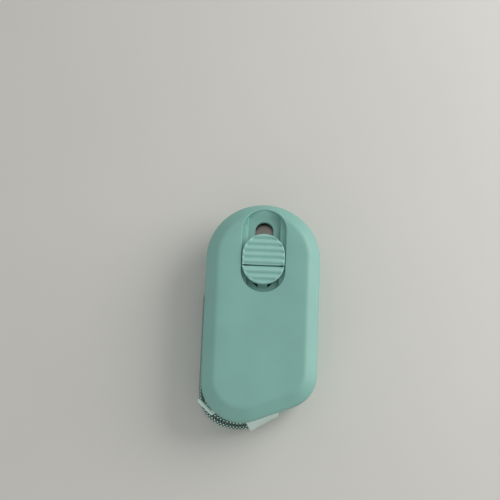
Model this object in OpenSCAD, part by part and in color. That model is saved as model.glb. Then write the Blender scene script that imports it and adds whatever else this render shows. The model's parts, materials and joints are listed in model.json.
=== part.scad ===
// Pocket rotary cutter with a spring-return tape measure in the same case.
// It lies on its back: +Z is up through the front face, +Y points to the blade end.
// Origin: half way along the case, on the flat of the back.

/* [Case] */
// Overall length of the case, blade end to lowest corner
body_length = 86.3; // [84:0.1:92]
// Overall width, which is also the diameter of the round blade end
body_width = 44; // [43:0.1:48]
// Overall thickness, back to front flat
body_height = 20; // [19.6:0.1:22]
// Radius of the lower left corner
corner_l_r = 15.6; // [15:0.1:17]
// Radius of the lower right corner
corner_r_r = 13.1; // [12:0.1:14.5]
// How much higher the lower right corner ends than the left one
corner_rise = 5.9; // [5:0.1:7]
// Height of the line where the two shells part
part_z = 14.2; // [14:0.1:14.4]
// Width of the sloped border round the front flat
chamfer_w = 4.5; // [3.5:0.1:5.5]
// Drop of that sloped border
chamfer_h = 3; // [2.6:0.1:3.4]
// Softening of the case's sharp edges
edge_soft = 0.35; // [0.2:0.05:0.5]
// Wall of the front shell
front_wall = 1.8; // [1.5:0.1:2]
// Wall of the rear shell
rear_wall = 1.6; // [1.2:0.1:1.8]
// Floor of the rear shell
rear_floor = 1.6; // [1.3:0.1:1.8]
// How far the rear shell stands back under the front one at the parting line
rear_step = 0.5; // [0.3:0.1:0.7]
// How far the rear shell curves in from there down to its flat
rear_curve = 6.5; // [6:0.1:7]

/* [Thumb recess] */
// Width of the recess
recess_w = 17; // [16.6:0.1:18]
// Length of the recess
recess_l = 33.3; // [33:0.1:34]
// Depth of the recess floor below the front flat
recess_d = 3.4; // [3.2:0.1:3.6]
// Depth of the two side ledges below the front flat
ledge_d = 1.8; // [1.6:0.1:2]
// Width of the channel between the ledges
channel_w = 12; // [11.6:0.1:12.6]
// Distance from the recess to the blade end of the case
recess_gap = 2.7; // [2.5:0.1:3]
// Wall and floor thickness of the recess
recess_wall = 1.4; // [1.2:0.1:1.5]
// Length of the ramp at the recess's upper end
ramp_l = 2.6; // [2:0.1:3]
// Width of the slot through the recess floor
slot_w = 7; // [6.6:0.1:7.4]
// Length of that slot
slot_l = 26.4; // [26.2:0.1:26.8]
// Distance from the recess's lower end to the slot
slot_gap = 2.6; // [2.4:0.1:2.8]

/* [Slider] */
// Width of the two-part thumb pad
pad_w = 16.4; // [15.6:0.1:16.4]
// Length of the two-part thumb pad
pad_l = 20.3; // [19.6:0.1:20.6]
// How far the pad stands above the front flat
pad_proud = 0.8; // [0.4:0.1:1.4]
// Distance from the recess's lower end to the pad, blade drawn in
pad_gap = 2.8; // [2.7:0.1:3]
// Length of the lower half of the pad, which is the lock button
lock_l = 8; // [7.6:0.1:8.4]
// Gap between the two halves
pad_split = 0.45; // [0.3:0.05:0.6]
// Distance between two ribs of the pad
rib_pitch = 2.45; // [2.2:0.05:2.8]
// Depth of the grooves between the ribs
rib_depth = 0.6; // [0.4:0.05:0.7]
// Travel of the slider
slide_travel = 8.7; // [8:0.1:8.8]
// Travel of the lock button
lock_travel = 1; // [0.6:0.1:1]
// Width of the carriage under the recess floor
carriage_w = 14; // [13:0.1:14.6]
// Thickness of the carriage
carriage_t = 1.2; // [1:0.1:1.3]

/* [Blade] */
// Diameter of the blade
blade_d = 28; // [27:0.1:28]
// Thickness of the blade
blade_t = 0.3; // [0.25:0.05:0.4]
// Diameter of the blade's centre hole
blade_bore = 6; // [5.6:0.1:6.4]
// Width of the ground edge
bevel_w = 1.4; // [1:0.1:2]
// Distance from the slot's upper end to the blade's centre, blade drawn in
blade_back = 8.75; // [8.7:0.05:9]
// Diameter of the blade's axle
axle_d = 3; // [2.6:0.1:3.2]

/* [Tape] */
// Length of the tape
tape_length = 1500; // [1000:10:1520]
// Thickness of the tape
tape_t = 0.25; // [0.2:0.01:0.26]
// Width of the tape
tape_w = 7; // [6:0.1:7.2]
// Radius of the reel's hub
hub_r = 6.5; // [6:0.1:7]
// Radius of the reel's flanges
flange_r = 14.6; // [14.4:0.1:14.8]
// Thickness of the flanges
flange_t = 0.9; // [0.7:0.1:1]
// Radius of the spring drum on the reel
drum_r = 12; // [11:0.1:12.5]
// Depth of the spring drum
drum_h = 4; // [3.4:0.1:4]
// Sideways place of the reel's axle
reel_x = 2.5; // [2.3:0.1:2.7]
// Distance from the reel's axle to the slanted edge of the case
reel_gap = 20.2; // [20:0.1:20.5]
// Radius of the reel's axle
reel_axle_r = 2.4; // [2:0.1:2.6]
// Travel of the pull tab that the straight lead allows
tab_travel = 20; // [16:0.5:20]

/* [Pull tab] */
// Length of the tab along the slanted edge
tab_l = 13.2; // [12.4:0.1:14]
// Height of the tab
tab_h = 9.2; // [8.6:0.1:9.4]
// Thickness of the tab
tab_t = 1.3; // [1:0.1:1.4]
// How far the tab stands back from the slanted edge
tab_inset = 0.6; // [0.5:0.1:0.8]
// How far the tab's free end is bent outwards
tab_flare = 2.0; // [1.6:0.1:2.6]

/* [Rewind lever] */
// Length of the thumb bar
bar_l = 7.6; // [7:0.1:8.4]
// Thickness of the thumb bar
bar_t = 1.35; // [1.2:0.05:1.5]
// Height of the thumb bar
bar_h = 1.8; // [1.6:0.1:2]
// Turn of the lever
lever_turn = 12; // [10:1:12]
// Radius of the lever's pin
lever_pin_r = 0.6; // [0.5:0.05:0.7]

/* [Lanyard] */
// Diameter of the cord
cord_d = 1.5; // [1.4:0.05:1.6]

/* [Fits] */
// Running clearance between round parts
run_gap = 0.05; // [0.03:0.01:0.08]
// Clearance between sliding parts
slide_gap = 0.2; // [0.15:0.05:0.25]
// Clearance between parts that must not touch
free_gap = 0.3; // [0.25:0.05:0.35]

/* [Hidden] */
$fn = 64;
hull_fn = 32;
mint = "#8cc9bc";
steel = "#a9aaab";
eps = 0.02;

// Outline: three round corners, and the slanted lower edge that touches two of them
head_r = body_width / 2;
head_y = body_length / 2 - head_r;
corner_l = [corner_l_r - head_r, corner_l_r - body_length / 2];
corner_r = [head_r - corner_r_r, corner_rise + corner_r_r - body_length / 2];
corner_step = corner_r - corner_l;
slant_a = 360 + atan2(corner_step[1], corner_step[0]) - acos((corner_l_r - corner_r_r) / norm(corner_step));
slant_n = [cos(slant_a), sin(slant_a)];
slant_u = [-slant_n[1], slant_n[0]];
slant_at = corner_l * slant_n + corner_l_r;
arc_step = 7.2;

// A place given along the slanted edge and inwards from it
function on_slant(u, inset) = u * slant_u + (slant_at - inset) * slant_n;
function arc(c, r, a0, a1) =
  let (n = ceil((a1 - a0) / arc_step))
  [for (i = [0:n]) c + r * [cos(a0 + (a1 - a0) * i / n), sin(a0 + (a1 - a0) * i / n)]];
function outline(d) = concat(
  arc([0, head_y], head_r - d, 0, 180),
  arc(corner_l, corner_l_r - d, 180, slant_a),
  arc(corner_r, corner_r_r - d, slant_a, 360)
);

// Levels of the front form and its hollow, each a height and the inset of the outline there
shoulder_z = body_height - chamfer_h;
crest_drop = 0.5;
front_levels = [
  [part_z + run_gap, edge_soft],
  [part_z + run_gap + edge_soft, 0],
  [shoulder_z - edge_soft, 0],
  [shoulder_z, edge_soft * 0.8],
  [body_height - crest_drop, chamfer_w - 0.8],
  [body_height - crest_drop / 4, chamfer_w + 0.2],
  [body_height, chamfer_w + 1.4]
];
ceiling_z = body_height - front_wall;
front_hollow = [
  [part_z - 1, front_wall],
  [shoulder_z - front_wall / 2, front_wall],
  [ceiling_z, chamfer_w + front_wall / 2]
];

// The rear form narrows along a quarter of an ellipse
function rear_inset(z) = rear_step + rear_curve * (1 - cos(asin(1 - z / part_z)));
function rear_z(inset) = part_z * (1 - sin(acos(1 - (inset - rear_step) / rear_curve)));
rear_steps = 6;
rear_levels = [for (k = [0:rear_steps]) let (z = part_z * (1 - sin(90 * k / rear_steps))) [z, rear_inset(z)]];
hollow_steps = 4;
rear_hollow = concat(
  [[part_z + 1, rear_step + rear_wall]],
  [for (k = [0:hollow_steps])
    let (z = part_z + (rear_floor - part_z) * sin(90 * k / hollow_steps)) [z, rear_inset(z) + rear_wall]]
);

// Thumb recess
recess_top = body_length / 2 - recess_gap;
recess_low = recess_top - recess_l;
floor_z = body_height - recess_d;
under_z = floor_z - recess_wall;
ledge_z = body_height - ledge_d;
slot_low = recess_low + slot_gap;
slot_top = slot_low + slot_l;
slot_corner = 1.7;

// Slider, blade drawn in
pad_low = recess_low + pad_gap;
pad_top = pad_low + pad_l;
split_y = pad_low + lock_l;
pad_z = ledge_z + slide_gap / 2;
pad_top_z = body_height + pad_proud;
rib_r = rib_pitch * 0.62;
stem_w = slot_w - 2 * slide_gap;
stem_top = slot_top - slide_travel - slide_gap;
stem_low = split_y - 2.6;
carriage_top = under_z - slide_gap;
carriage_z = carriage_top - carriage_t;
carriage_low = stem_low - 1.6;

// Blade and what holds it
blade_y = slot_top - blade_back;
blade_top = carriage_z - slide_gap;
blade_z = blade_top - blade_t;
finger_r = 2.8;
detent_y = blade_y - 7;
detent_l = 11;
detent_t = 0.3;
detent_h = 1;
detent_x = carriage_w / 2 + slide_gap + 0.7;
washer_t = 0.5;
washer_r = 4.5;
washer_top = blade_z - slide_gap;
nut_t = 1.8;
axle_head_t = 0.8;

// Lock button and its cage
core_w = channel_w - 2 * free_gap;
core_top = pad_z + lock_travel;
core_z = core_top - 1.4;
foot_low = slot_low + 0.6;
foot_l = 2.6;
foot_w = 10;
foot_top = under_z - slide_gap;
foot_t = 1.1;
cage_wall = 1.5;
cage_low = foot_low - free_gap - cage_wall;
cage_shelf = 1.2;
spring_r = 1.1;
spring_wire = 0.35;
spring_room = 3;
shelf_top = foot_top - foot_t - spring_room;

// Tape, reel and mainspring
reel_u = (reel_x - (slant_at - reel_gap) * slant_n[0]) / slant_u[0];
reel = on_slant(reel_u, reel_gap);
tape_z = 4.7;
tape_gap = 0.2;
roll_r = sqrt(hub_r * hub_r + tape_length * tape_t / PI);
low_flange_r = flange_r - 0.8;
low_flange_z = tape_z - tape_gap - flange_t;
high_flange_z = tape_z + tape_w + tape_gap;
drum_z = high_flange_z + flange_t;
drum_top = drum_z + drum_h;
drum_wall = 1;
cover_t = 0.8;
cover_hub_r = 4;
axle_top = ceiling_z + 0.6;
axle_z = rear_floor + 0.6;
spring_strip = 0.3;
spring_turns = 7;
spring_in = reel_axle_r + 0.9;
spring_out = drum_r - drum_wall - 0.5;
lead_u = reel_u - roll_r - tape_t - 0.15;
guide_r = 1;
guide_u = lead_u + tape_t + guide_r + slide_gap;
guide_inset = 7.4;

// Pull tab and the seat behind it
tab_left = lead_u - 2.2;
tab_right = tab_left + tab_l;
tab_z = tape_z - 1.1;
tab_bend = tab_left + 5.4;
seat_inset = tab_inset + tab_t + free_gap;
seat_wall = 1.6;
seat_margin = 0.7;
lead_in = tab_travel + seat_inset + seat_wall + slide_gap;
mouth_gap = 0.35;
clamp_l = 2.4;

// Rewind lever: pin, bar and brake arm
function about(c, r, a) = c + r * [cos(a), sin(a)];
lever_a = 227.5;
lever_z = 10.4;
arm_z = drum_z + slide_gap;
arm_t = 0.8;
eye_r = 1.5;
lever_neck_r = 1.1;
pin_at = about(corner_l, corner_l_r - 3.8, lever_a);
bar_end = about(corner_l, corner_l_r - 0.1, lever_a);
bar_a = 136;
bar_tip = about(bar_end, bar_l, bar_a);
brake_a = -115;
pad_r = 1.2;
peg_r = 0.7;
brake_at = about(reel, flange_r + pad_r + slide_gap, brake_a);
mouth_h = lever_z - free_gap;
mouth_room = lever_neck_r + 3 * free_gap;
mouth_swing = 5 * sin(lever_turn);

// Fasteners
boss_r = 2.6;
screw_r = 1;
head_screw_r = 1.9;
head_t = 1.1;
screw_l = 13;
joint_z = 11.5;
screw_spots = [[-11, 4], [11, 4], [-13, -30.5]];

// Lanyard cord: from its crimp out to the lower left corner, up the left side, round a loop and back.
// Both strands bend about one centre before they enter the case side by side
cord_z = 2.4;
cord_a = 45;
cord_turn = [-5.5, -37.4];
strand_r = [3, 4.8];
strand_in = 12.2;
crimp_t = 1.5;
cord_route = [
  [6.5, -32.2, 2.4], [0.7, -38, 2.4], [-0.8, -39.5, 2.2], [-2.2, -40.8, 1.7], [-3.6, -41.8, 1.2],
  [-5.5, -42.2, 0.9], [-8.5, -42.2, 0.8], [-11.6, -41.7, 0.8], [-14.6, -40.7, 0.8], [-17.4, -39, 0.8],
  [-19.8, -36.6, 0.8], [-21.4, -33.6, 0.8], [-22.2, -30.3, 0.8], [-22.3, -27, 0.8], [-22.3, -12, 0.8],
  [-22.3, 3, 0.8], [-22.3, 6.1, 0.9], [-22.2, 8.5, 2], [-21.9, 9.5, 4.3], [-21.7, 8.5, 6.6],
  [-21.5, 6.1, 7.6], [-21.4, 3, 7.1], [-21.1, -3, 4.6], [-20.8, -8, 2.2], [-20.5, -12, 1.1],
  [-20.5, -16, 0.8], [-20.5, -27, 0.8], [-20.4, -30, 0.8], [-19.7, -32.9, 0.8], [-18.3, -35.6, 0.8],
  [-16.2, -37.7, 0.8], [-13.7, -39.2, 0.8], [-10.9, -40.1, 0.8], [-8.1, -40.5, 1], [-5.2, -40.6, 1.7],
  [-3.4, -39.7, 2.3], [-2, -38.1, 2.4], [5.2, -30.9, 2.4]
];

// Hull of thin slices, which all lie within the first and the last height
module form(levels) {
  middle = (levels[0][0] + levels[len(levels) - 1][0]) / 2;
  hull()
    for (level = levels)
      translate([0, 0, level[0] - (level[0] > middle ? eps : 0)])
        linear_extrude(eps)
          polygon(outline(level[1]));
}

module obround(w, low, top, h) {
  linear_extrude(h)
    union() {
      translate([0, low + w / 2]) circle(w / 2);
      translate([0, top - w / 2]) circle(w / 2);
      translate([-w / 2, low + w / 2]) square([w, top - low - w]);
    }
}

// A block in the slanted edge's own directions: along it, inwards from it, upwards
module slant_block(u0, u1, in0, in1, z0, z1) {
  rotate(slant_a + 90)
    translate([u0, in0 - slant_at, z0])
      cube([u1 - u0, in1 - in0, z1 - z0]);
}

module at(p, z = 0) {
  translate([p[0], p[1], z]) children();
}

// Screw posts
module posts(z0, z1) {
  for (p = screw_spots)
    at(p, z0) cylinder(r = boss_r, h = z1 - z0);
}

// Floor slot of the recess: round above, cut-off corners below
module floor_slot() {
  translate([0, 0, under_z - 1])
    linear_extrude(recess_wall + 2)
      union() {
        translate([0, slot_top - slot_w / 2]) circle(slot_w / 2);
        polygon([
          [-slot_w / 2, slot_top - slot_w / 2], [-slot_w / 2, slot_low + slot_corner],
          [-slot_w / 2 + slot_corner, slot_low], [slot_w / 2 - slot_corner, slot_low],
          [slot_w / 2, slot_low + slot_corner], [slot_w / 2, slot_top - slot_w / 2]
        ]);
      }
}

// Hollow of the recess: full outline down to the ledges, channel with a ramp below them
module recess_hollow() {
  translate([0, 0, ledge_z]) obround(recess_w, recess_low, recess_top, recess_d);
  intersection() {
    hull() {
      translate([-channel_w / 2, recess_low, floor_z]) cube([channel_w, recess_l - ramp_l, eps]);
      translate([-channel_w / 2, recess_low, ledge_z + eps]) cube([channel_w, recess_l, eps]);
    }
    translate([0, 0, floor_z]) obround(recess_w, recess_low, recess_top, recess_d);
  }
}

module front_shell() {
  rail_w = 1.4;
  rail_x = carriage_w / 2 + slide_gap;
  rail_low = recess_low - 1;
  lip_in = rear_step + rear_wall + 0.15;
  lip_t = 0.9;
  lip_h = 1.2;
  lip_low = corner_l[1] + 12;
  lip_l = 22;
  tub_w = recess_w + 2 * recess_wall;
  color(mint)
    difference() {
      union() {
        difference() {
          form(front_levels);
          form(front_hollow);
        }
        // tub that carries the recess, kept below the sloped border at its upper end
        translate([0, 0, under_z])
          obround(tub_w, recess_low - recess_wall, recess_top + recess_wall, shoulder_z + 0.6 - under_z);
        translate([0, 0, under_z])
          obround(tub_w, recess_low - recess_wall, recess_top - 2, ceiling_z + eps - under_z);
        // rails of the carriage
        for (side = [-1, 1])
          translate([side * (rail_x + rail_w / 2) - rail_w / 2, rail_low, carriage_z + slide_gap])
            cube([rail_w, stem_top + slide_travel - rail_low, under_z - carriage_z]);
        posts(joint_z, ceiling_z + eps);
        // locating lips inside the long sides of the rear shell
        for (side = [0, 1])
          mirror([side, 0, 0]) {
            translate([head_r - lip_in - lip_t, lip_low, part_z - lip_h]) cube([lip_t, lip_l, 2 * lip_h]);
            translate([head_r - lip_in - lip_t, lip_low, part_z + 0.1])
              cube([lip_t + lip_in - front_wall + 0.1, lip_l, lip_h - 0.1]);
          }
        // sockets of the reel's axle and the lever's pin
        at(reel, drum_top + free_gap)
          cylinder(r = cover_hub_r - free_gap, h = ceiling_z + eps - drum_top - free_gap);
        at(pin_at, arm_z + arm_t + 2.2) cylinder(r = lever_pin_r + 1.1, h = 1.2);
      }
      recess_hollow();
      floor_slot();
      // window of the detent spring
      translate([rail_x - 1, detent_y - detent_l / 2, carriage_z - 1])
        cube([rail_w + 2, detent_l, under_z - carriage_z + 1]);
      for (p = screw_spots)
        at(p, joint_z - 1) cylinder(r = screw_r + run_gap, h = 5);
      at(reel, drum_top) cylinder(r = reel_axle_r + run_gap, h = axle_top + run_gap - drum_top);
      at(pin_at, arm_z) cylinder(r = lever_pin_r + run_gap, h = 4.2);
    }
}

module rear_shell() {
  notch_w = blade_d + 2;
  seat_left = tab_left - seat_margin;
  seat_right = tab_right + seat_margin;
  color(mint)
    difference() {
      union() {
        difference() {
          form(rear_levels);
          form(rear_hollow);
        }
        // posts, axle foot, guide and pin feet, and the wall behind the pull tab
        posts(rear_floor - eps, joint_z);
        at(reel, rear_floor - eps) cylinder(r = reel_axle_r + 1.6, h = low_flange_z - free_gap - rear_floor);
        at(on_slant(guide_u, guide_inset), rear_floor - eps) cylinder(r = guide_r + 0.8, h = 1);
        at(pin_at, rear_z(1.9)) cylinder(r = lever_pin_r + 1.4, h = mouth_h - rear_z(1.9));
        slant_block(
          seat_left, seat_right, seat_inset, seat_inset + seat_wall, rear_z(seat_inset), part_z
        );
      }
      // seat of the pull tab and the tape's mouth
      slant_block(seat_left, seat_right, -2, seat_inset, -1, part_z + 1);
      slant_block(
        lead_u - mouth_gap, lead_u + tape_t + mouth_gap, seat_inset - 1, seat_inset + seat_wall + 4,
        tape_z - mouth_gap, tape_z + tape_w + mouth_gap
      );
      // mouth of the blade, closed above by the front shell
      translate([-notch_w / 2, head_y + 4, blade_z - free_gap])
        cube([notch_w, head_r, part_z]);
      // mouth of the rewind lever, wide enough for its turn
      at(pin_at, mouth_h)
        rotate(lever_a) {
          translate([-eye_r - free_gap, -mouth_room - mouth_swing, 0])
            cube([8, 2 * mouth_room + mouth_swing, part_z]);
          translate([norm(bar_end - pin_at) - bar_t / 2 - mouth_swing - 2 * free_gap, -bar_l - bar_t, 0])
            cube([8, bar_l + bar_t, part_z]);
        }
      // screws, from the back
      for (p = screw_spots) {
        at(p, -1) cylinder(r = screw_r + 0.15, h = joint_z + 2);
        at(p, -1) cylinder(r = head_screw_r + 0.15, h = 1.4 + head_t);
      }
      at(reel, -1) cylinder(r = screw_r + 0.15, h = 4);
      at(reel, -1) cylinder(r = head_screw_r + 0.15, h = 1.15 + head_t);
      at(reel, axle_z) cylinder(r = reel_axle_r + run_gap, h = 2);
      at(on_slant(guide_u, guide_inset), rear_floor) cylinder(r = guide_r + run_gap, h = 3);
      at(pin_at, lever_z - 3) cylinder(r = lever_pin_r + run_gap, h = 6);
      // holes of the lanyard
      for (r = strand_r)
        at(cord_turn, cord_z)
          rotate(cord_a)
            translate([-0.5, -r, 0])
              rotate([0, 90, 0])
                cylinder(r = cord_d / 2 + slide_gap, h = strand_in + 0.5);
    }
}

// Pan-head screw that points up from the back
module screw(z, l) {
  translate([0, 0, z + head_t - eps]) cylinder(r = screw_r, h = l);
  difference() {
    translate([0, 0, z]) cylinder(r = head_screw_r, h = head_t);
    for (a = [0, 90])
      translate([0, 0, z]) rotate(a) cube([2.2, 0.5, 1.1], center = true);
  }
}

module case_screws() {
  color(steel)
    for (p = screw_spots)
      at(p) screw(0.35, screw_l);
}

module axle_screw() {
  color(steel) at(reel) screw(-eps + 0.05, 6);
}

// Ribbed top of the thumb pad between two heights: rounded ribs along the whole pad
module ribbed_pad(z0) {
  ribs = floor(pad_l / rib_pitch / 2);
  crest = pad_top_z - rib_r;
  intersection() {
    translate([0, 0, z0]) obround(pad_w, pad_low, pad_top, pad_top_z);
    union() {
      translate([-pad_w / 2, pad_low, z0])
        cube([pad_w, pad_l, pad_top_z - rib_depth - z0]);
      for (k = [-ribs:ribs])
        translate([-pad_w / 2, (pad_low + pad_top) / 2 + k * rib_pitch, crest])
          rotate([0, 90, 0])
            cylinder(r = rib_r, h = pad_w, $fn = 40);
    }
  }
}

module blade_slider() {
  color(mint) {
    intersection() {
      ribbed_pad(pad_z);
      translate([-pad_w, split_y + pad_split / 2, 0]) cube([2 * pad_w, pad_l, 2 * body_height]);
    }
    // stem through the slot, with a snap post that goes into the carriage
    translate([0, 0, carriage_top])
      obround(stem_w, stem_low, stem_top, core_z - lock_travel - slide_gap - carriage_top);
    intersection() {
      translate([0, 0, carriage_top]) obround(stem_w, stem_low, stem_top, pad_z - carriage_top + eps);
      translate([-pad_w, split_y + pad_split / 2, 0]) cube([2 * pad_w, pad_l, 2 * body_height]);
    }
    translate([0, stem_low + stem_w / 2, carriage_z])
      cylinder(r = 1.4, h = carriage_t + 1);
  }
}

module lock_button() {
  neck_w = 2 * (slot_w / 2 - slot_corner + foot_low - slot_low - slide_gap);
  core_high = stem_low - free_gap;
  color(mint) {
    intersection() {
      ribbed_pad(core_top);
      translate([-pad_w, pad_low - 1, 0])
        cube([2 * pad_w, lock_l + 1 - pad_split / 2, 2 * body_height]);
    }
    // core between the ledges, neck through the slot, foot under the floor
    intersection() {
      translate([0, 0, core_z]) obround(pad_w - 1, pad_low + 0.5, pad_top, core_top - core_z + eps);
      translate([-core_w / 2, 0, 0]) cube([core_w, split_y - pad_split / 2, 2 * body_height]);
    }
    translate([-neck_w / 2, foot_low, foot_top - foot_t])
      cube([neck_w, min(foot_l, core_high - foot_low), core_z - foot_top + foot_t + eps]);
    translate([-foot_w / 2, foot_low, foot_top - foot_t])
      cube([foot_w, foot_l, foot_t]);
  }
}

module blade_carriage() {
  cage_x = foot_w / 2 + slide_gap;
  cage_out = carriage_w / 2;
  cage_high = carriage_low + eps;
  cage_z = shelf_top - cage_shelf;
  notch_r = 0.9;
  color("#d8d9d6")
    difference() {
      union() {
        // plate, and the finger over the blade
        translate([-carriage_w / 2, carriage_low, carriage_z])
          cube([carriage_w, blade_y - 5 - carriage_low, carriage_t]);
        translate([-finger_r, carriage_low, carriage_z])
          cube([2 * finger_r, blade_y - carriage_low, carriage_t]);
        translate([0, blade_y, carriage_z]) cylinder(r = finger_r, h = carriage_t);
        // cage round the lock button's foot and spring
        for (side = [-1, 1])
          translate([side * (cage_x + cage_out) / 2 - (cage_out - cage_x) / 2, cage_low, cage_z])
            cube([cage_out - cage_x, cage_high - cage_low, carriage_top - cage_z]);
        translate([-cage_out, cage_low, cage_z])
          cube([2 * cage_out, foot_low + foot_l - cage_low + 0.2, cage_shelf]);
        translate([-cage_out, cage_low, cage_z])
          cube([2 * cage_out, cage_wall, carriage_top - cage_z]);
      }
      translate([0, stem_low + stem_w / 2, carriage_z - 1])
        cylinder(r = 1.4 + run_gap, h = carriage_t + 2);
      translate([0, blade_y, carriage_z - 1])
        cylinder(r = axle_d / 2 + run_gap, h = carriage_t + 2);
      // detent notches, blade drawn in and blade out
      for (y = [0, slide_travel])
        translate([carriage_w / 2, detent_y - y, carriage_z - 1])
          cylinder(r = notch_r, h = carriage_t + 2);
    }
}

// Coil spring as one tube swept along a helix
function ring(p, side, up, r, n) =
  [for (k = [0:n - 1]) p + r * (cos(360 * k / n) * side + sin(360 * k / n) * up)];

module tube(points, sides, ups, r, n) {
  count = len(points);
  rings = [for (i = [0:count - 1]) each ring(points[i], sides[i], ups[i], r, n)];
  walls = [for (i = [0:count - 2]) for (k = [0:n - 1])
    let (a = i * n + k, b = i * n + (k + 1) % n)
    each [[a, b, b + n], [a, b + n, a + n]]];
  first = [for (k = [0:n - 1]) n - 1 - k];
  last = [for (k = [0:n - 1]) (count - 1) * n + k];
  polyhedron(rings, concat([first], walls, [last]));
}

module lock_spring() {
  turns = 4;
  steps = 12 * turns;
  low = shelf_top + spring_wire / 2 + 0.05;
  high = foot_top - foot_t - spring_wire / 2 - 0.05;
  angle = [for (i = [0:steps]) 360 * turns * i / steps];
  line = [for (i = [0:steps]) [spring_r * cos(angle[i]), spring_r * sin(angle[i]), low + (high - low) * i / steps]];
  sides = [for (a = angle) [cos(a), sin(a), 0]];
  ups = [for (a = angle) [0, 0, 1]];
  color(steel)
    translate([0, foot_low + foot_l / 2, 0])
      tube(line, sides, ups, spring_wire / 2, 6);
}

module blade() {
  r = blade_d / 2;
  color(steel)
    translate([0, blade_y, 0])
      rotate_extrude($fn = 96)
        polygon([
          [blade_bore / 2, blade_z], [r - bevel_w, blade_z], [r, (blade_z + blade_top) / 2],
          [r - bevel_w, blade_top], [blade_bore / 2, blade_top]
        ]);
}

// Shoulder pin: thin through the carriage, thick where the blade turns, thin again for the nut
module blade_axle() {
  color("#8f9092")
    translate([0, blade_y, 0]) {
      translate([0, 0, washer_top]) cylinder(r = blade_bore / 2 - run_gap, h = carriage_z - washer_top);
      translate([0, 0, washer_top - washer_t - nut_t - 0.4]) cylinder(r = axle_d / 2, h = nut_t + washer_t + 2);
      translate([0, 0, carriage_z - eps]) cylinder(r = axle_d / 2, h = carriage_t);
    }
}

module blade_washer() {
  color(steel)
    translate([0, blade_y, washer_top - washer_t])
      difference() {
        cylinder(r = washer_r, h = washer_t);
        translate([0, 0, -1]) cylinder(r = axle_d / 2 + run_gap, h = washer_t + 2);
      }
}

module blade_nut() {
  flats = 8;
  color("#d8d9d6")
    translate([0, blade_y, washer_top - washer_t - nut_t])
      difference() {
        union() {
          cylinder(r = 3.4, h = nut_t * 0.45);
          for (k = [0:flats - 1])
            rotate(360 * k / flats) translate([3.2, 0, 0]) cylinder(r = 0.8, h = nut_t, $fn = 24);
          cylinder(r = 3.4, h = nut_t);
        }
        translate([0, 0, -1]) cylinder(r = axle_d / 2 + run_gap, h = nut_t + 2);
      }
}

// Leaf in a window of the right rail, with the bump that finds the carriage's notches
module detent_spring() {
  bump = 0.5;
  half = detent_l / 2 - run_gap;
  color(steel)
    translate([detent_x, detent_y, carriage_z + slide_gap])
      linear_extrude(detent_h)
        polygon([
          [0, -half], [0, -1.3], [-bump, -0.3], [-bump, 0.3], [0, 1.3], [0, half],
          [detent_t, half], [detent_t, 1.1], [detent_t - bump * 0.6, 0.2],
          [detent_t - bump * 0.6, -0.2], [detent_t, -1.1], [detent_t, -half]
        ]);
}

module tape_reel() {
  spokes = 5;
  color("#e7e6df")
    at(reel)
      difference() {
        union() {
          translate([0, 0, low_flange_z]) cylinder(r = low_flange_r, h = flange_t);
          translate([0, 0, low_flange_z]) cylinder(r = hub_r - run_gap, h = high_flange_z - low_flange_z + eps);
          translate([0, 0, high_flange_z]) cylinder(r = flange_r, h = flange_t);
          translate([0, 0, drum_z - eps]) cylinder(r = drum_r, h = drum_h);
        }
        translate([0, 0, drum_z]) cylinder(r = drum_r - drum_wall, h = drum_h + 1);
        translate([0, 0, low_flange_z - 1]) cylinder(r = reel_axle_r + run_gap, h = drum_top);
        // lightening holes of the lower flange
        for (k = [0:spokes - 1])
          rotate(360 * k / spokes)
            translate([(hub_r + low_flange_r) / 2, 0, low_flange_z - 1])
              cylinder(r = 2, h = flange_t + 2 - eps);
      }
}

module tape_roll() {
  color("#f2f1ea")
    at(reel, tape_z)
      difference() {
        cylinder(r = roll_r, h = tape_w);
        translate([0, 0, -1]) cylinder(r = hub_r, h = tape_w + 2);
      }
}

module drum_cover() {
  color("#d8d9d6")
    at(reel, drum_top)
      difference() {
        cylinder(r = drum_r, h = cover_t);
        translate([0, 0, -1]) cylinder(r = cover_hub_r, h = cover_t + 2);
      }
}

// Spiral spring between the axle's slit and the drum's wall
function spiral(a) = spring_in + (spring_out - spring_in) * a / (360 * spring_turns);
module mainspring() {
  step = 15;
  last = 360 * spring_turns;
  inner = [for (a = [0:step:last]) (spiral(a) - spring_strip / 2) * [cos(a), sin(a)]];
  outer = [for (a = [last:-step:0]) (spiral(a) + spring_strip / 2) * [cos(a), sin(a)]];
  tongue = [[spring_in + spring_strip / 2, -spring_strip], [0, -spring_strip], [0, 0]];
  color("#6f7377")
    at(reel, drum_z + 0.4)
      linear_extrude(drum_h - 0.8)
        polygon(concat(inner, outer, tongue));
}

module reel_axle() {
  slit = spring_strip + 0.2;
  color("#8f9092")
    at(reel)
      difference() {
        translate([0, 0, axle_z]) cylinder(r = reel_axle_r, h = axle_top - axle_z);
        translate([-0.1, -(slit + spring_strip) / 2, drum_z + 0.2]) cube([reel_axle_r + 1, slit, axle_top]);
        translate([0, 0, axle_z - 1]) cylinder(r = screw_r + run_gap, h = 7);
      }
}

// Place of the tab's outer face: straight, then bent outwards in a smooth curve
function tab_out(u) = tab_inset - tab_flare * pow(max(0, (tab_bend - u) / (tab_bend - tab_left)), 2);

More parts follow.
